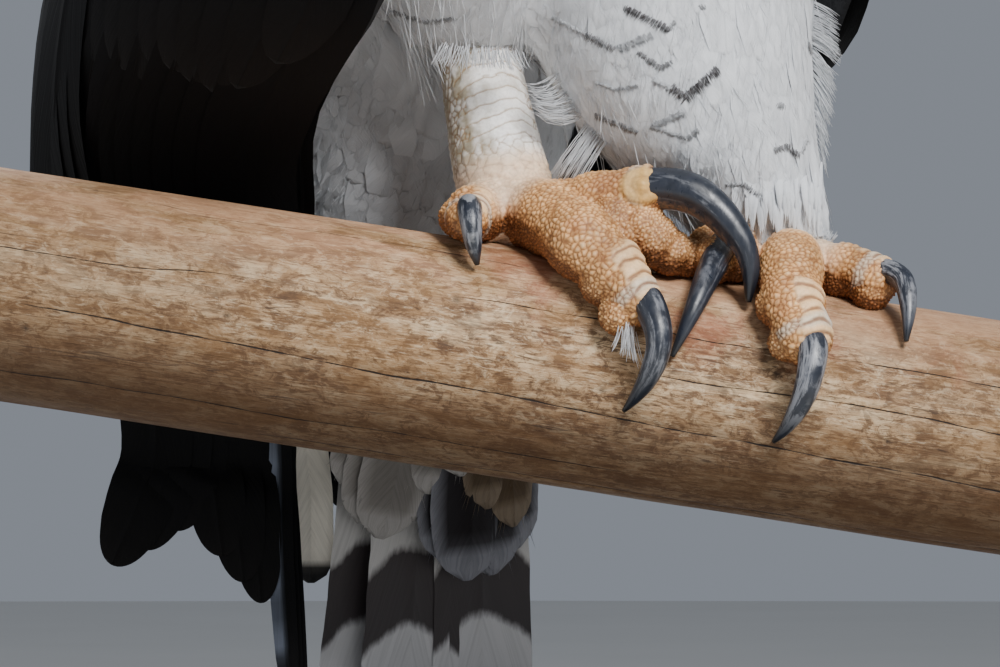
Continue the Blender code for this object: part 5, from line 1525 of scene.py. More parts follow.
def build_tail(finishes, draw):
    """Twelve banded feathers, their coverts above and below, and one pale feather beside them."""
    coat = Coat()
    rows = np.linspace(0, 1, 44)
    shape = np.interp(rows, [0, 0.2, 0.6, 0.90, 0.96, 0.99, 1], [0.55, 0.9, 1, 0.97, 0.74, 0.42, 0.12])
    for side in (-1, 1):
        for pair in range(TAIL_PAIRS):
            share = (pair + 0.5) / TAIL_PAIRS
            layer = (TAIL_PAIRS / 2 - pair) * 2 * TAIL_LAYER + (TAIL_LAYER if side > 0 else 0.0)
            length = 1.0 - 0.035 * share**2
            k = 0.02 + (length - 0.02) * rows
            spread = TAIL_SPREAD_ROOT + (1 - TAIL_SPREAD_ROOT) * k
            reach = share * spread * (TAIL_HALF_WIDTH_TIP - TAIL_FEATHER_WIDTH / 2 + 0.004)
            if side > 0 and pair == TAIL_PAIRS - 1:
                reach = 0.0046 + 0.004 * k
                layer -= TAIL_LAYER
            path = tail_point(side * reach, k, layer * np.minimum(1.0, k / 0.35))
            normal = unit(FORWARD - RIGHTWARD * 0.03 * side)
            half = TAIL_FEATHER_WIDTH / 2 * shape * (1 + 0.03 * layered_noise(path, 150, 3, 4))
            flat = [(0.5 + side * share * 0.45, 0.95)]
            coat.one(path, normal, half, np.ones(3), draw, flat, camber=-0.05, thick=0.0005, lie=k)
    piece(coat.made("tail_feathers"), finishes["tail"], "tail_plumage", "tail")

    coverts = Coat()
    rows = np.linspace(0, 1, 22)
    shape = np.interp(rows, [0, 0.3, 0.75, 0.90, 0.97, 1], [0.5, 0.85, 1, 0.82, 0.48, 0.12])
    sides = smooth(0.55, 1.0, np.abs(LARGE[:, 0]))[None] * smooth(0.3, 0.7, rows)[:, None]
    edge = np.maximum(smooth(0.84, 0.92, rows)[:, None], sides)[..., None]
    last = slice(-9, -1)
    for place, end, half, layer, kind in UNDERTAIL + UPPERTAIL:
        end = end + draw.normal(0, 0.004)
        k = end * rows
        front = -1 if layer > 0 else 1
        stand = 0.0085 + abs(layer) * 0.0011 + 0.0060 * (1 - rows) * np.minimum(1.0, k / 0.1)
        path = tail_point(place * (0.45 + 0.55 * rows), k, front * stand)
        normal = -front * FORWARD
        inner, rim = (linear(shade) for shade in COVERT_TINTS[kind])
        halves = half * shape * (1 + 0.05 * layered_noise(path, 220, 3, int(abs(place) * 9000)))
        coverts.one(path, normal, halves, blend(inner, rim, edge), draw,
                    [(0.5 + place * 8, 0.5 - front * 0.3)], camber=0.10, thick=0.0004)
        spots = path[last]
        side = unit(np.cross(np.gradient(path, axis=0), normal)[last])
        share = draw.uniform(-1, 1, (6, len(spots), 1))
        start = spots + side * halves[last, None] * share * 0.95
        tips = start - UP * draw.uniform(0.002, 0.008, (6, len(spots), 1)) + side * share * 0.003
        count = start.size // 3
        coverts.spikes(start.reshape(-1, 3), tips.reshape(-1, 3), np.broadcast_to(normal, (count, 3)),
                       0.00018, rim, draw.random(count), np.full((count, 2), 0.5 - front * 0.3))
    piece(coverts.made("tail_coverts"), finishes["flight"], "tail_plumage")

    lone = Coat()
    rows = np.linspace(0, 1, 24)
    path = seen_at(np.interp(rows, [0, 0.5, 1], [303, 311, 311]), 405 + 178 * rows, 0.040)
    tint = blend(linear((226, 221, 208)), linear(WING_BLACK), smooth(0.86, 0.92, rows)[:, None])
    half = 0.0092 * np.interp(rows, [0, 0.2, 0.85, 0.95, 1], [0.5, 0.9, 1, 0.75, 0.15])
    lone.add(path[None], np.broadcast_to(TOWARDS, path.shape)[None], half[None], 0.0, tint[None], [0.4],
             [(0.3, 0.3)], section=LARGE, camber=0.08, thick=0.0004)
    piece(lone.made("wing_under_feather"), finishes["soft"], "white_plumage")


# Bare legs

def leg_shapes(side):
    """The leg's bodies, and the lines and radii that its scales follow: lower leg, toes, then pads."""
    shapes, limbs = [], []
    places = np.linspace(0, 1, 26)
    points, radii = pole_line(TARSUS[side], places)
    shapes.append(tube(points, radii, 24))
    limbs.append((points, radii))
    for number in (1, 2, 3, 4):
        table = TOES[f"{side}_{number}"]
        points, plain = pole_line(table, places)
        knuckles = np.cos(places * math.pi * 2 * (len(table) - 1)) * smooth(0.1, 0.4, places)
        radii = plain * (1 + 0.05 * knuckles)
        ahead = unit(points[-1] - points[-2])
        ends = np.array([0.4, 0.7, 0.9])
        dome = points[-1] + ahead * (radii[-1] * ends)[:, None]
        path = np.concatenate([points, dome])
        radii = np.concatenate([radii, radii[-1] * np.sqrt(1 - ends**2 * 0.9)])
        shapes.append(tube(path, radii, 24))
        limbs.append((points, plain))
    for along, degrees, rise, radius in [PALM[side], *PADS[side]]:
        centre = on_pole(along, degrees, rise)
        shapes.append(sphere(centre, radius))
        limbs.append((centre[None], np.array([radius])))
    for number in (1, 2, 3, 4):
        points, radii = pole_line(TALONS[f"{side}_{number}"], [0.0, 0.06, 0.10])
        shapes.append(tube(points, radii * np.array([1.12, 1.16, 1.04]), 24))
    return shapes, limbs


def length_along(points):
    """How far along a line each of its points is."""
    return np.concatenate([[0.0], np.cumsum(np.linalg.norm(np.diff(points, axis=0), axis=1))])


def one_each(points, size, draw):
    """One point from each cube of a size."""
    order = draw.permutation(len(points))
    return points[order[first_in_cubes(points[order], size)]]


def borders(points, seeds):
    """How much nearer each point is to its own seed than to the next one, and which seed that is."""
    tree = KDTree(len(seeds))
    for i, seed in enumerate(seeds):
        tree.insert(seed, i)
    tree.balance()
    gaps, owners = np.empty(len(points)), np.empty(len(points), int)
    for i, point in enumerate(points):
        (_, owners[i], near), (_, _, far) = tree.find_n(point, 2)
        gaps[i] = far - near
    return gaps, owners


ROLL_LENGTH = 0.0047  # of one roll along a toe
SCUTE_LENGTH = 0.0052  # of one wide scute down the lower leg
# The most folded knuckle of each foot: place and depth in the view, size, colour
KNUCKLES = {
    "right": ((641, 183, -0.090), 0.0110, (216, 172, 98)),
    "left": ((818, 322, -0.108), 0.0075, (226, 222, 212)),
}


def build_leg(side, finish):
    """One skin over lower leg and foot, with its scutes, plates and pebbled pads raised."""
    draw = np.random.default_rng(31 if side == "right" else 32)
    shapes, limbs = leg_shapes(side)
    voxel, rounds = ((LEG_VOXEL, 16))
    skin = remeshed("leg_" + side, shapes, voxel, rounds)
    points, normals, _ = read(skin)

    # The limb that each point belongs to, and its place along that limb
    owner = np.zeros(len(points), int)
    best = np.full(len(points), 9.0)
    along, share = np.zeros(len(points)), np.zeros(len(points))
    for index, (line, radii) in enumerate(limbs):
        off = np.linalg.norm(points[:, None] - line, axis=-1) / radii
        nearest = off.argmin(1)
        off = off[np.arange(len(points)), nearest]
        closer = off < best
        best[closer] = off[closer]
        owner[closer] = index
        along[closer] = length_along(line)[nearest[closer]]
        share[closer] = nearest[closer] / max(len(line) - 1, 1)
    for index, (line, _) in enumerate(limbs):
        mine = owner == index
        if len(line) > 1 and mine.any():
            nearest = np.rint(share[mine] * (len(line) - 1)).astype(int)
            tangent = unit(np.gradient(line, axis=0))[nearest]
            along[mine] += np.sum((points[mine] - line[nearest]) * tangent, -1)
    radial = points - POLE_MIDDLE - ((points - POLE_MIDDLE) @ AXIS)[:, None] * AXIS
    outward = np.sum(normals * unit(radial), -1)
    shank = owner == 0
    tarsus = smooth(0.004, 0.020, along) * shank
    toe = ((owner >= 1) & (owner <= 4)).astype(float)
    front = normals @ unit(TOWARDS + FORWARD)

    # Pebbles: plates low on the lower leg, rounded scales on top of the toes, papillae below.
    # Each kind: where, size, height, roundness, and its groove's inner and outer edge
    top = smooth(-0.1, 0.45, outward)
    pads = (owner >= 6) | (outward < 0.05)
    low_rows = (tarsus > 0.5) & (along < 0.027) & (front > 0.15)
    relief, groove, tone, crown = np.zeros((4, len(points)))
    for where, size, height, power, thin, wide in (
        ((tarsus > 0.5) & ~low_rows, 0.0034, 0.0005, 0.6, 0.02, 0.24),
        (low_rows, 0.0056, 0.0005, 0.4, 0.01, 0.12),
        ((tarsus <= 0.5) & ~pads, 0.0027, 0.00080, 0.55, 0.02, 0.26),
        ((tarsus <= 0.5) & pads, 0.0017, 0.00095, 0.8, 0.04, 0.42),
    ):
        if not where.any():
            continue
        seeds = one_each(points[where], size, draw)
        gap, cell = borders(points[where], seeds)
        gap = gap / size
        relief[where] = height * (np.clip(gap / 0.6, 0, 1) ** power - 0.6)
        groove[where] = 1 - smooth(thin, wide, gap)
        crown[where] = smooth(0.25, 0.75, gap)
        tone[where] = draw.uniform(-1, 1, len(seeds))[cell]

    # Rolls on the toes near the talons, and wide scutes down the front of the lower leg
    lengths = np.array([length_along(line)[-1] for line, _ in limbs])[owner]
    dorsal = np.sum(normals * unit(unit(radial) + np.array([0.62, 0.0, 0.0])), -1)
    wander = layered_noise(points, 120, 2, 8) * 0.0015
    from_end = lengths - along + (1 - dorsal) * 0.0040 + wander
    phase = from_end / ROLL_LENGTH
    fraction = phase - np.floor(phase)
    ragged = layered_noise(points, 210, 2, 9) * 0.16
    rolled = np.array([0.0, *ROLLED, *([0.0] * (len(limbs) - 5))])[owner]
    near_end = smooth(0.004, -0.001, from_end - rolled + ragged * 0.015)
    on_top = toe * smooth(0.72, 0.84, dorsal + ragged) * near_end
    swell = 0.75 + 0.5 * by_rank(np.floor(phase))
    plate = 0.0013 * swell * (np.sin(math.pi * fraction) ** 0.6 * 0.9 + 0.4 * (1 - fraction) - 0.6)
    line = 1 - smooth(0.03, 0.22, np.minimum(fraction, 1 - fraction))
    relief = blend(relief, plate, on_top)
    groove = blend(groove, line, on_top)
    wave = layered_noise(points * np.array([1, 1, 0.7]), 80, 3, 14) * 0.0034
    phase = (along + (1 - front) * 0.007 + wave) / SCUTE_LENGTH
    number = np.floor(phase)
    fraction = phase - number
    ends = 0.25 + 0.50 * by_rank(number)
    shin = tarsus * smooth(ends, ends + 0.07, front) * smooth(0.022, 0.028, along)
    plate = 0.00055 * (np.minimum(1, np.sin(math.pi * fraction) * 2.2) ** 0.5 - 0.6)
    line = 1 - smooth(0.0, 0.11, np.minimum(fraction, 1 - fraction))
    relief = blend(relief, plate, shin)
    groove = blend(groove, line, shin)
    crown = np.where(np.maximum(shin, on_top) > 0.5, np.sin(math.pi * fraction) * (on_top > 0.5), crown)
    tone = tone * (1 - np.maximum(shin, on_top)) + np.sin(number * 7.7) * 0.4 * shin

    # Wrinkles at the ankle and where the toes bend, and folds round one knuckle
    crease = layered_noise(points * np.array([1, 1, 2.4]), 240, 3, 5)
    from_ankle = np.linalg.norm(points - limbs[0][0][0], axis=1)
    ankle = np.maximum(shank * smooth(0.020, 0.010, along), smooth(0.032, 0.020, from_ankle) * top)
    relief = relief * (1 - 0.55 * ankle) + crease * (0.00015 + 0.00050 * ankle)
    groove = groove * (1 - 0.6 * ankle) + smooth(0.25, 0.5, -crease) * ankle * 0.5
    knuckle, size, knuckle_shade = KNUCKLES[side]
    off = np.linalg.norm(points - seen_at(*knuckle), axis=1) / size
    near = smooth(1.0, 0.6, off)
    ripple = np.cos((off + layered_noise(points, 130, 2, 31) * 0.10) * 3 * math.pi)
    relief = relief * (1 - near * 0.8) + near * 0.0004 * ripple
    groove = groove * (1 - near * 0.8) + near * smooth(0.62, 0.98, -ripple) * 0.25
    put_points(skin, points + normals * relief[:, None])

    # Colour: ochre toes with painted highlights and dark grooves of painted shade, whitish scutes, olive
    # dirt and painted shade, a pale ankle, horny collars
    blotch = layered_noise(points, 60, 3, 11)[:, None]
    fine = layered_noise(points, 700, 2, 12)[:, None]
    top, tone, crown = top[:, None], tone[:, None], crown[:, None]
    low = smooth(0.30, -0.25, outward)[:, None]
    # Deeper orange underneath and lighter on top: partly the pads' own colour, partly painted light and
    # shade
    colour = blend(linear((176, 114, 62)), linear((216, 160, 102)), top)
    # Painted highlights on the crowns of the scales and rolls, stronger on top of the toes
    lit = blend(linear((190, 130, 78)), linear((248, 212, 164)), top)
    colour = blend(colour, lit, crown * (0.25 + 0.35 * top))
    colour = colour * (1 + 0.55 * blotch + 0.16 * tone)
    # Painted shade underneath, on the side that faces the pole, with painted highlights kept on the scales'
    # crowns
    colour = blend(colour, linear((120, 70, 40)) * (1 + 0.6 * crown), 0.65 * low)
    rosy = smooth(0.15, 0.6, layered_noise(points, 90, 3, 27))[:, None] * 0.35
    colour = blend(colour, linear((168, 104, 74)), rosy)
    colour = blend(colour, linear((240, 200, 152)) * (1 + 0.2 * blotch), on_top[:, None] * 0.65)
    peach = np.clip(ankle + shank * smooth(0.030, 0.018, along), 0, 1)[:, None] * 0.75
    colour = blend(colour, linear((244, 220, 192)) * (1 + 0.16 * blotch + 0.06 * tone), peach)
    bone = linear((246, 243, 238)) * (1 + 0.06 * blotch + 0.05 * tone)
    # Dirt and stains on the lower leg, with painted shade on its left side, away from the light
    grime_and_shade = smooth(0.0, 0.50, normals @ np.array([-0.92, -0.1, 0.0]) + blotch[:, 0] * 0.6)
    flakes = smooth(-0.35, 0.25, layered_noise(points, 260, 3, 23))
    stain = smooth(0.20, 0.60, layered_noise(points, 85, 3, 17)) * 0.6
    grime_and_shade = np.maximum(grime_and_shade * (0.30 + 0.70 * flakes), stain)[:, None] * 0.80
    bone = blend(bone, linear((138, 124, 90)), grime_and_shade)
    bone = blend(bone, linear((176, 140, 76)), smooth(0.082, 0.096, along)[:, None] * 0.6)
    pale = np.clip(smooth(0.014, 0.024, along) * shank, 0, 1)[:, None]
    colour = blend(colour, bone, pale)
    collar = toe * smooth(0.0035, 0.0010, np.abs(from_end - (1 - dorsal) * 0.0040))
    colour = blend(colour, linear((216, 208, 190)), collar[:, None] * 0.6)
    near = smooth(1.0, 0.55, off)[:, None] * 0.8
    colour = blend(colour, linear(knuckle_shade), near)
    # Painted shade in the grooves, creases and folds, darker underneath
    groove_shade = blend(linear((72, 38, 18)), linear((112, 64, 34)), top)
    groove_shade = blend(groove_shade, linear((150, 120, 84)), pale)
    depth = groove[:, None] * np.where(pale > 0.5, 0.85, 0.75 + 0.15 * low)
    colour = blend(colour, groove_shade, depth * (1 - 0.5 * peach * (1 - pale)))
    put_value(skin.data, "tint", np.clip(colour * (1 + 0.10 * fine), 0, 1))
    piece(skin, finish, "leg_skin", "tarsus_" + side, "foot_" + side)


# Each talon's share of pale and of brown wear
TALON_WEAR = {
    "right_1": (0.3, 0.3), "right_2": (0.12, 0.6), "right_3": (0.5, 0.9), "right_4": (0.95, 0.1),
    "left_1": (0.3, 0.3), "left_2": (0.2, 0.1), "left_3": (0.85, 0.1), "left_4": (0.75, 0.3),
}


def build_talons(finish):
    """Eight talons: keeled, curved horn with a blunt underside."""
    sides, count = 28, 60
    turns = circle(sides)
    belly = np.where(np.cos(turns) > 0, 0.90, 1.06) - 0.10 * np.exp(-((turns / 0.35) ** 2))
    for key, table in TALONS.items():
        points, radii = pole_line(table, np.linspace(0, 1, count))
        tangents = unit(np.gradient(points, axis=0))
        bend = np.gradient(tangents, axis=0)
        inner = unit(unit(bend).mean(0))
        rings = []
        for point, tangent, radius in zip(points, tangents, radii):
            under = unit(inner - tangent * np.dot(inner, tangent))
            side = np.cross(tangent, under)
            rings.append(point + radius * belly[:, None] * (
                np.outer(np.cos(turns), under) + np.outer(np.sin(turns), side) * 0.90))
        spots = np.concatenate(rings)
        lie = np.repeat(np.linspace(0, 1, count), sides)
        worn = layered_noise(spots, 220, 4, 21)
        middle = np.repeat(points, sides, 0)
        spots = spots + unit(spots - middle) * (worn * 0.00012 * smooth(1.0, 0.7, lie))[:, None]
        pale, brown = TALON_WEAR[key]
        values = {
            "lie": lie, "around": np.tile(np.cos(turns), count), "wear": worn,
            "pale": np.full(len(spots), pale), "brown": np.full(len(spots), brown),
        }
        talon = new_mesh("talon_horn_" + key, spots, loft_faces(count, sides), values)
        piece(talon, finish, "black_horn", "talon_" + key)


def round_pole(degrees):
    """Distances round the pole for differences of angle."""
    return ((degrees + 180) % 360 - 180) * math.pi / 180 * POLE_RADIUS


def build_perch(finish):
    """The weathered pole: long checks along the grain, shallow dents, and its sawn ends."""
    along_count, round_count = ((400, 220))
    end = POLE_LENGTH / 2
    a = np.linspace(-end, end, along_count)
    along, turn = np.meshgrid(a, circle(round_count), indexing="ij")
    around = np.stack([np.cos(turn) * POLE_RADIUS, np.sin(turn) * POLE_RADIUS], -1)
    dents, fibre = (np.concatenate([along[..., None] * shrink, around], -1) for shrink in (0.25, 0.06))
    radius = POLE_RADIUS - 0.0004 + 0.0007 * layered_noise(dents, 30, 3, 1)
    radius = radius + 0.00020 * layered_noise(fibre, 380, 3, 2)

    # Distance from the nearest check, with a sign that turns over at each one
    degrees = np.degrees(turn)
    nearest, strength = np.full(along.shape, 9.0), np.zeros(along.shape)
    passed = np.zeros(along.shape)
    for start, stop, angle, drift, depth in CHECKS:
        wander = layered_noise(np.column_stack([a * 26, np.full(len(a), angle), np.zeros(len(a))]), 1, 4, 6)
        line = (angle + drift * np.clip((a - start) / (stop - start), 0, 1) + 2.4 * wander)[:, None]
        off = np.abs(round_pole(degrees - line))
        inside = (smooth(start, start + 0.03, a) * smooth(stop, stop - 0.03, a))[:, None]
        inside = inside * depth / CHECK_DEPTH
        closer = off < nearest
        nearest = np.where(closer, off, nearest)
        strength = np.where(closer, inside, strength)
        passed = passed + (degrees > line)
        radius = radius - 0.0007 * inside * np.exp(-((off / CHECK_WIDTH) ** 2))
    crossing = nearest * np.where(passed % 2 == 1, 1, -1)
    knot = np.zeros(along.shape)
    for place, angle, size in KNOTS:
        off = np.hypot(along - place, round_pole(degrees - angle))
        knot = np.maximum(knot, np.exp(-((off / size) ** 2)))
    radius = radius - 0.0005 * knot - 0.0012 * smooth(0.003, 0.0, end - np.abs(along))
    away = np.sin(turn)[..., None] * TOWARDS + np.cos(turn)[..., None] * OUT
    side = POLE_MIDDLE + along[..., None] * AXIS + radius[..., None] * away

    # The sawn ends close the grid with shrinking rings
    inner = np.linspace(0.96, 0.03, 24)[:, None, None]
    caps = [
        POLE_MIDDLE + sign * end * AXIS + (rim - POLE_MIDDLE - sign * end * AXIS) * inner
        for sign, rim in ((-1, side[0]), (1, side[-1]))
    ]
    points = np.concatenate([caps[0][::-1], side, caps[1]])

    def widened(values):
        blank = np.zeros((len(inner), round_count))
        return np.concatenate([blank, values, blank]).ravel()

    local = points - POLE_MIDDLE
    values = {
        "grain": np.stack([local @ AXIS, local @ OUT, local @ TOWARDS], -1).reshape(-1, 3),
        "crossing": widened(crossing + 0.009 * (strength <= 0)), "strength": widened(strength),
        "knot": widened(knot), "top": widened(np.cos(turn)),
        "cap": 1 - widened(np.ones(along.shape)),
    }
    pole = new_mesh("perch_wood", points.reshape(-1, 3), loft_faces(len(points), round_count), values)
    piece(pole, finish, "perch_wood", "perch")


CHECK_WIDTH = 0.0013
CHECK_DEPTH = 0.0014  # at full strength
# Checks in the wood: from and to along the pole, degrees from its top, drift, depth
CHECKS = [
    (-0.140, 0.020, 30, 4, 0.0003), (-0.030, 0.250, 60, 6, 0.0006), (0.050, 0.240, 84, 5, 0.0007),
    (-0.190, 0.250, 98, 20, 0.0009), (-0.250, -0.080, 74, -6, 0.0004), (-0.230, 0.060, 136, 6, 0.0006),
    (-0.100, 0.250, 160, 5, 0.0009), (-0.250, 0.250, 190, 6, 0.0013), (-0.200, 0.200, 226, -5, 0.0010),
    (-0.250, 0.250, 262, 6, 0.0013), (-0.220, 0.100, 300, -4, 0.0009), (-0.100, 0.240, 334, 5, 0.0006),
]
# Small dark knots: place along the pole, degrees from its top, size
KNOTS = [(-0.020, 62, 0.0016), (0.040, 96, 0.0012), (-0.105, 88, 0.0012), (0.105, 76, 0.0012),
         (0.150, 100, 0.0012), (-0.180, 110, 0.0013), (-0.060, 250, 0.0030), (0.120, 290, 0.0026)]


# The wood's own patterns: scale along and across the grain, detail, roughness, distortion
WOOD_NOISES = {
    "streaks": (10, 230, 7.0, 0.68, 0.5), "patches": (16, 45, 6.0, 0.62, 0.8),
    "fibres": (70, 1500, 3.0, 0.6, 0.0), "dashes": (130, 900, 5.0, 0.72, 0.6),
    "mottle": (52, 105, 9.0, 0.78, 0.5), "blots": (120, 190, 6.0, 0.72, 0.9),
    "grime_and_shade": (50, 120, 8.0, 0.78, 1.2), "flecks": (190, 800, 4.0, 0.7, 0.0),
    "stains": (30, 22, 5.0, 0.6, 0.0), "hairline": (7, 150, 2.0, 0.5, 0.0),
    "broken": (60, 20, 4.0, 0.7, 0.0),
}
# Dark and pale marks: pattern, where it starts and is full, strength, colour
WOOD_MARKS = [
    ("mottle", 0.50, 0.58, 0.80, (96, 66, 40)), ("mottle", 0.47, 0.39, 0.65, (226, 198, 158)),
    ("blots", 0.52, 0.59, 0.75, (78, 52, 32)), ("blots", 0.46, 0.38, 0.50, (230, 206, 170)),
    ("dashes", 0.54, 0.62, 0.80, (58, 38, 24)), ("dashes", 0.44, 0.36, 0.45, (234, 212, 180)),
    ("patches", 0.44, 0.64, 0.50, (146, 108, 68)), ("patches", 0.46, 0.30, 0.45, (214, 190, 152)),
]


def wood_finish():
    """Bare weathered wood: streaks, dirt, flecks, reddish patches, fine checks and sawn rings, with painted
    light on top and painted shade down the sides and underneath.
    """
    finish = Finish("perch_wood", 0.75)
    step, times = finish.step, finish.times
    grain = finish.attribute("grain", "Vector")
    along = finish.add("SeparateXYZ", {0: grain}, output=0)
    crossing, strength = finish.attribute("crossing"), finish.attribute("strength")
    knot, top, cap = finish.attribute("knot"), finish.attribute("top"), finish.attribute("cap")
    noise = {
        name: finish.noise(finish.scaled(grain, (lengthwise, across, across)), 1.0, *look)
        for name, (lengthwise, across, *look) in WOOD_NOISES.items()
    }
    streaks, patches, fibres = noise["streaks"], noise["patches"], noise["fibres"]
    grime_and_shade, stains = noise["grime_and_shade"], noise["stains"]
    colour = finish.mix(step(streaks, 0.30, 0.70), linear((144, 112, 80)), linear((204, 170, 130)))
    for name, low, high, amount, shade in WOOD_MARKS:
        colour = finish.layer(colour, shade, step(noise[name], low, high), amount)
    from_feet = finish.math("ABSOLUTE", finish.math("SUBTRACT", along, 0.03))
    thread = finish.math("ABSOLUTE", finish.math("SUBTRACT", noise["hairline"], 0.5))
    for shade, *shares in (
        # Painted light on the pole's top, in patches, and reddish near the feet
        ((202, 152, 116), step(top, 0.30, 0.95), step(patches, 0.64, 0.42), 0.65),
        ((152, 80, 58), step(stains, 0.52, 0.66), step(along, -0.05, 0.02), step(top, 0.0, 0.6), 0.50),
        # Sooty dirt on the sides, stronger lower down where it is partly painted shade, weathered far from
        # the feet, and painted shade underneath
        ((86, 60, 36), step(grime_and_shade, 0.50, 0.72), step(top, 1.0, 0.2), 0.80),
        ((104, 76, 46), step(from_feet, 0.04, 0.19), 0.46),
        ((72, 47, 24), step(top, 0.05, -0.62), 0.74),
        # Flecks, fibres and hairline checks
        ((58, 38, 24), step(noise["flecks"], 0.60, 0.72), step(grime_and_shade, 0.42, 0.60), 0.7),
        ((92, 66, 42), step(fibres, 0.60, 0.25), 0.30),
        ((52, 34, 22), step(thread, 0.006, 0.001), step(streaks, 0.48, 0.58), 0.7),
    ):
        colour = finish.layer(colour, shade, *shares)
    rings = finish.add("VectorMath", {0: finish.scaled(grain, (0, 1, 1))}, output=1, operation="LENGTH")
    ring_wave = finish.math("SINE", finish.math("ADD", times(rings, 2300.0), times(stains, 9.0)))
    sawn = finish.mix(step(ring_wave, -1.0, 1.0), linear((168, 132, 92)), linear((126, 92, 60)))
    colour = finish.mix(cap, colour, sawn)
    width = times(step(noise["broken"], 0.25, 0.75), 0.00052, finish.math("ADD", strength, 0.15))
    off = finish.math("DIVIDE", finish.math("ABSOLUTE", crossing), finish.math("MAXIMUM", width, 0.00001))
    check = times(step(off, 1.6, 0.6), step(strength, 0.03, 0.20))
    colour = finish.mix(finish.math("MAXIMUM", check, times(knot, 0.8)), colour, linear((34, 22, 14)))
    finish.set("Base Color", colour)
    height = finish.math("SUBTRACT", finish.math("ADD", streaks, times(fibres, 0.5)), times(check, 1.5))
    finish.set("Normal", finish.bump(height, 0.0006, 0.8))
    finish.set("Roughness", step(patches, -1.2, 1.3))
    return finish


def skin_finish():
    """Leathery scaled skin in the colours that its points carry."""
    finish = Finish("leg_skin", 0.55)
    tint = finish.attribute("tint", "Color")
    fine = finish.noise(finish.place(), 900.0, 4.0, 0.6)
    finish.set("Base Color", finish.layer(tint, (120, 84, 58), finish.step(fine, 0.35, 0.72), 0.20))
    finish.set("Normal", finish.bump(fine, 0.0002, 0.6))
    finish.set("Specular IOR Level", 0.45)
    finish.set("Subsurface Weight", 0.06)
    finish.set("Subsurface Radius", (0.006, 0.003, 0.0015))
    return finish


def horn_finish():
    """Slate-black horn, worn grey and brownish in streaks."""
    finish = Finish("talon_horn", 0.34)
    step, times = finish.step, finish.times
    lie, around, wear, pale, browned = (
        finish.attribute(name) for name in ("lie", "around", "wear", "pale", "brown"))
    place = finish.place()
    streak = finish.noise(finish.scaled(place, (1, 1, 0.35)), 420.0, 5.0, 0.7, 0.6)
    lengthwise = finish.add("CombineXYZ", {0: times(lie, 2.6), 1: times(around, 2.4), 2: times(pale, 9.0)})
    long_streak = finish.noise(lengthwise, 1.6, 6.0, 0.66, 0.3)
    blotch = finish.noise(place, 130.0, 4.0, 0.6)
    colour = finish.mix(blotch, linear((22, 25, 31)), linear((50, 55, 66)))
    worn = finish.math("ADD", long_streak, times(pale, 0.12))
    worn = finish.math("ADD", worn, times(finish.math("SUBTRACT", streak, 0.5), 0.25))
    reach = finish.math("ADD", times(pale, 0.45), 0.22)
    for shade, *shares in (
        ((158, 160, 166), step(worn, 0.54, 0.68), step(around, 0.8, -0.1), reach, step(lie, 0.98, 0.55)),
        ((124, 92, 70), step(around, 0.15, 0.75), step(streak, 0.40, 0.58), browned),
        ((188, 188, 188), step(wear, 0.34, 0.62), times(pale, 0.32)),
        ((24, 25, 28), step(lie, 0.86, 1.0)),
    ):
        colour = finish.layer(colour, shade, *shares)
    finish.set("Base Color", colour)
    finish.set("Roughness", step(streak, -0.35, 1.7))
    finish.set("Normal", finish.bump(streak, 0.00018, 0.5))
    finish.set("Specular IOR Level", 0.6)
    return finish


def body_finish():
    """The skin under the coat, in the coat's colours."""
    finish = Finish("body_skin", 0.9)
    tint = finish.attribute("tint", "Color")
    down = finish.noise(finish.place(), 260.0, 4.0, 0.7)
    darker = finish.mix(0.12, tint, (0, 0, 0))
    finish.set("Base Color", finish.mix(finish.step(down, 0.3, 0.7), tint, darker))
    finish.set("Normal", finish.bump(down, 0.0015, 0.6))
    return finish


def paint_finish():
    """Satin black paint with a fine orange peel and patches of dust."""
    finish = Finish("stand_paint", 0.42)
    peel = finish.noise(finish.place(), 900.0, 2.0)
    dust = finish.noise(finish.place(), 22.0, 5.0, 0.7)
    colour = finish.layer(linear((38, 38, 40)), (70, 69, 68), finish.step(dust, 0.45, 0.75), 0.35)
    finish.set("Base Color", colour)
    finish.set("Normal", finish.bump(peel, 0.0001, 0.4))
    finish.set("Roughness", finish.step(dust, -0.9, 2.0))
    return finish


def bill_piece(name, table, squeeze, finish, node):
    """One half of the bill, with a cere at its base."""
    sides, count = 40, 70
    turns = circle(sides)
    rise = np.sin(turns)
    narrow = 1 - squeeze * smooth(0.0, 1.0, rise) - 0.3 * squeeze * smooth(0.4, 1.0, -rise)
    rows = rows_along(table, np.linspace(0, 1, count))
    centres = head_point(rows[:, 0], np.zeros(count), rows[:, 1])
    tangents = unit(np.gradient(centres, axis=0))
    rings = []
    for centre, tangent, row in zip(centres, tangents, rows):
        upward = unit(np.cross(ASIDE, tangent))
        tall = rise * np.where(rise < 0, 0.86, 1.0) * row[3]
        rings.append(centre + np.outer(np.cos(turns) * row[2] * narrow, ASIDE) + np.outer(tall, upward))
    spots = np.concatenate(rings)
    lie = np.repeat(np.linspace(0, 1, count), sides)
    out = unit(spots - np.repeat(centres, sides, 0))
    if node == "bill_upper":
        cere = smooth(0.235, 0.205, lie)
        spots = spots + out * (cere * 0.0010)[:, None]
        for sign in (1, -1):
            local = spots - head_point(NOSTRIL[0], NOSTRIL[1] * sign, NOSTRIL[2])
            off = np.hypot(local @ AHEAD, (local @ ABOVE) / 1.9)
            this_side = np.sign(local @ ASIDE + 0.004 * sign) == sign
            near = np.exp(-((off / NOSTRIL_SIZE) ** 2)) * this_side
            spots = spots - out * (near * NOSTRIL_DEPTH)[:, None]
    made = new_mesh(name, spots, loft_faces(count, sides), {
        "lie": lie, "around": np.tile(-rise, count), "wear": layered_noise(spots, 200, 3, 9),
        "pale": np.full(len(spots), 0.2), "brown": np.zeros(len(spots)),
    })
    made.data.flip_normals()
    piece(made, finish, "black_horn", node)


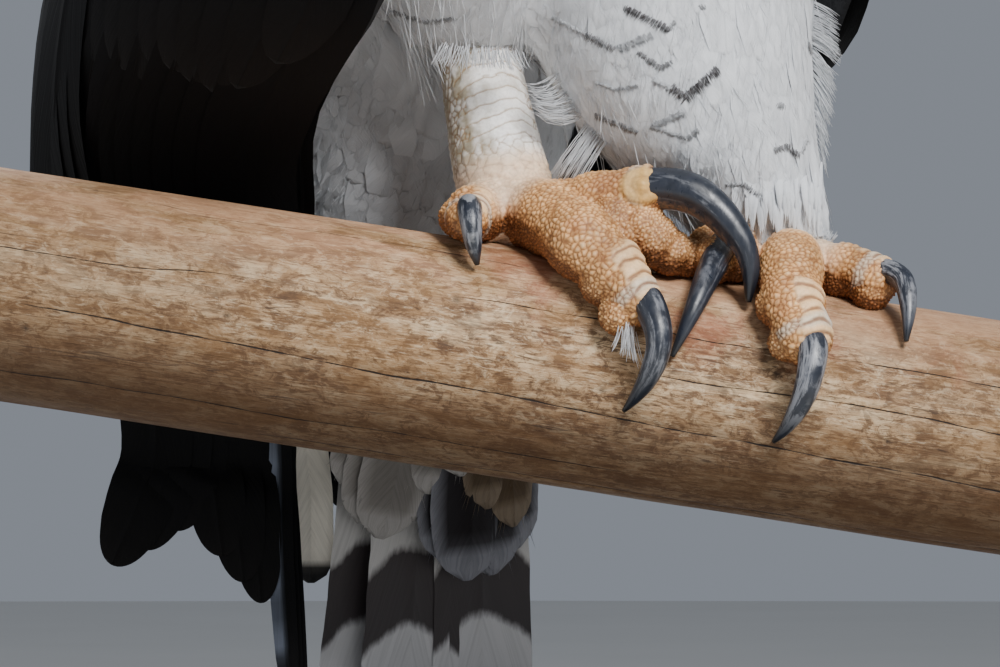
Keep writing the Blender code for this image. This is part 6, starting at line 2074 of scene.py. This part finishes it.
def build_face(finishes, surface):
    """Bill, eyes with their lids, brows, and the line of the mouth."""
    bill_piece("bill_upper_horn", UPPER_BILL, 0.42, finishes["bill"], "bill_upper")
    bill_piece("bill_lower_horn", LOWER_BILL, 0.0, finishes["bill"], "bill_lower")
    sides, levels = 48, 34
    turns = circle(sides)
    polar = np.linspace(0.02, math.pi - 0.1, levels)
    spokes = np.column_stack([np.cos(turns), np.sin(turns), np.zeros(sides)])
    for name, sign in (("right", 1), ("left", -1)):
        centre = eye_centre(sign)
        look = unit(AHEAD * EYE_LOOK[0] + ASIDE * sign * EYE_LOOK[1])
        first = unit(np.cross(look, ABOVE))
        second = np.cross(first, look)
        rim = ring(turns, first, second)
        rings = [centre + EYE_RADIUS * (look * math.cos(a) + math.sin(a) * rim) for a in polar]
        values = {"lie": np.repeat(polar, sides), "spoke": np.tile(spokes, (levels, 1))}
        eye = new_mesh("eye_globe_" + name, np.concatenate(rings), loft_faces(levels, sides), values)
        face_outward(eye.data)
        piece(eye, finishes["eye"], "eye_glass", "eye_" + name)

        lid = []
        for a in np.linspace(0, 2 * math.pi, 49):
            ahead, wide = 0.0060 - 0.0008 * math.cos(2 * a), 0.0104 + 0.0006 * abs(math.cos(a))
            out = math.cos(a) * first + math.sin(a) * second
            lid.append(centre + look * ahead + out * wide)
        lid = tube(np.array(lid), np.full(len(lid), LID_RADIUS), 10)
        radius = np.interp(np.linspace(0, 1, 24), [0, 0.4, 0.85, 1], [0.0013, 0.0012, 0.0009, 0.0004])
        line = lip_line(surface, sign)
        lips = merged([tube(line + ABOVE * shift, radius, 12) for shift in (0.0008, -0.0008)])
        brow = tube(*head_line(BROW_RIDGE, sign, 26), 16)
        for label, shape in (("lid_", lid), ("mouth_", lips), ("brow_", brow)):
            piece(new_mesh(label + name, *shape), finishes["cere"], "black_horn")


def eye_finish():
    """Grey-brown iris with darker spokes, a black pupil and a dark rim, under a wet surface."""
    finish = Finish("eye", 0.06)
    angle = finish.attribute("lie")
    spoke = finish.noise(finish.attribute("spoke", "Vector"), 9.0, 3.0, 0.6)
    iris = finish.mix(spoke, linear((52, 40, 32)), linear((116, 96, 78)))
    iris = finish.mix(finish.step(angle, 0.62, 0.80), iris, linear((22, 18, 16)))
    finish.set("Base Color", finish.mix(finish.step(angle, 0.30, 0.34), (0.002, 0.002, 0.002), iris))
    finish.set("Coat Weight", 1.0)
    finish.set("Coat Roughness", 0.02)
    return finish


def cere_finish():
    """Bare dark grey skin round the eyes and mouth."""
    finish = Finish("cere", 0.5)
    fine = finish.noise(finish.place(), 700.0, 4.0)
    finish.set("Base Color", finish.mix(fine, linear((52, 53, 57)), linear((92, 93, 97))))
    finish.set("Normal", finish.bump(fine, 0.0003, 0.6))
    return finish


# Along the tail, from its root
TAIL_BANDS = [
    (0.0, (196, 194, 192)), (0.298, (178, 176, 174)), (0.312, (48, 41, 42)), (0.412, (44, 38, 40)),
    (0.426, (178, 178, 180)), (0.530, (168, 168, 171)), (0.545, (44, 39, 42)), (0.650, (44, 39, 42)),
    (0.665, (164, 164, 168)), (0.768, (156, 156, 160)), (0.783, (40, 36, 39)), (0.955, (40, 36, 39)),
    (0.985, (150, 148, 150)),
]
# Tail coverts: sideways, end along the tail, half width, layer (positive in front), kind
UNDERTAIL = [
    (0.046, 0.24, 0.0120, 1, "pale"), (0.037, 0.295, 0.0150, 2, "pale"), (0.021, 0.290, 0.0150, 3, "pale"),
    (0.029, 0.312, 0.0165, 4, "pale"), (-0.040, 0.335, 0.0140, 2, "fan"), (-0.003, 0.345, 0.0150, 3, "fan"),
    (-0.027, 0.364, 0.0175, 4, "fan"), (-0.014, 0.374, 0.0190, 5, "fan"),
    (-0.034, 0.300, 0.0120, 7, "brown"),
    (-0.020, 0.27, 0.0130, 8, "brown"), (0.008, 0.25, 0.0150, 6, "pale"), (-0.006, 0.22, 0.0150, 9, "pale"),
]
UPPERTAIL = [
    (0.034, 0.26, 0.0140, -1, "slate"), (-0.034, 0.26, 0.0140, -1, "slate"),
    (0.017, 0.31, 0.0160, -2, "slate"), (-0.017, 0.31, 0.0160, -3, "slate"),
    (0.0, 0.34, 0.0165, -4, "slate"), (0.026, 0.20, 0.0150, -5, "slate"),
    (-0.026, 0.20, 0.0150, -6, "slate"), (0.0, 0.22, 0.0165, -7, "slate"),
]
COVERT_TINTS = {
    "pale": ((112, 108, 104), (150, 147, 144)), "fan": ((32, 29, 31), (122, 123, 130)),
    "brown": ((70, 58, 44), (112, 100, 86)), "slate": ((22, 23, 27), (44, 44, 48)),
}


def main():
    put_camera()
    put_lights()
    finishes = {
        "skin": body_finish(),
        "soft": feather_finish("soft_plumage", 0.8, 0.35),
        "white": feather_finish("white_plumage", 0.85, 0.16, depth=0.35),
        "flight": feather_finish("flight_plumage", 0.62, 0.5, gloss=0.10),
        "tail": feather_finish("tail_plumage", 0.65, 0.35, bands=TAIL_BANDS),
        "horn": horn_finish(),
        "bill": horn_finish(),
        "eye": eye_finish(),
        "cere": cere_finish(),
        "leg": skin_finish(),
        "wood": wood_finish(),
    }
    paint = paint_finish()
    for name in ("stand_base", "stand_rod_left", "stand_rod_right"):
        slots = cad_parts[name].data.materials
        slots.clear()
        slots.append(paint.material)
    build_perch(finishes["wood"])
    for side in ("right", "left"):
        build_leg(side, finishes["leg"])
    build_talons(finishes["horn"])
    surface = build_body(finishes)
    draw = np.random.default_rng(9)
    for side in ("right", "left"):
        build_wing(side, finishes, draw)
    build_tail(finishes, draw)
    build_face(finishes, surface)


main()
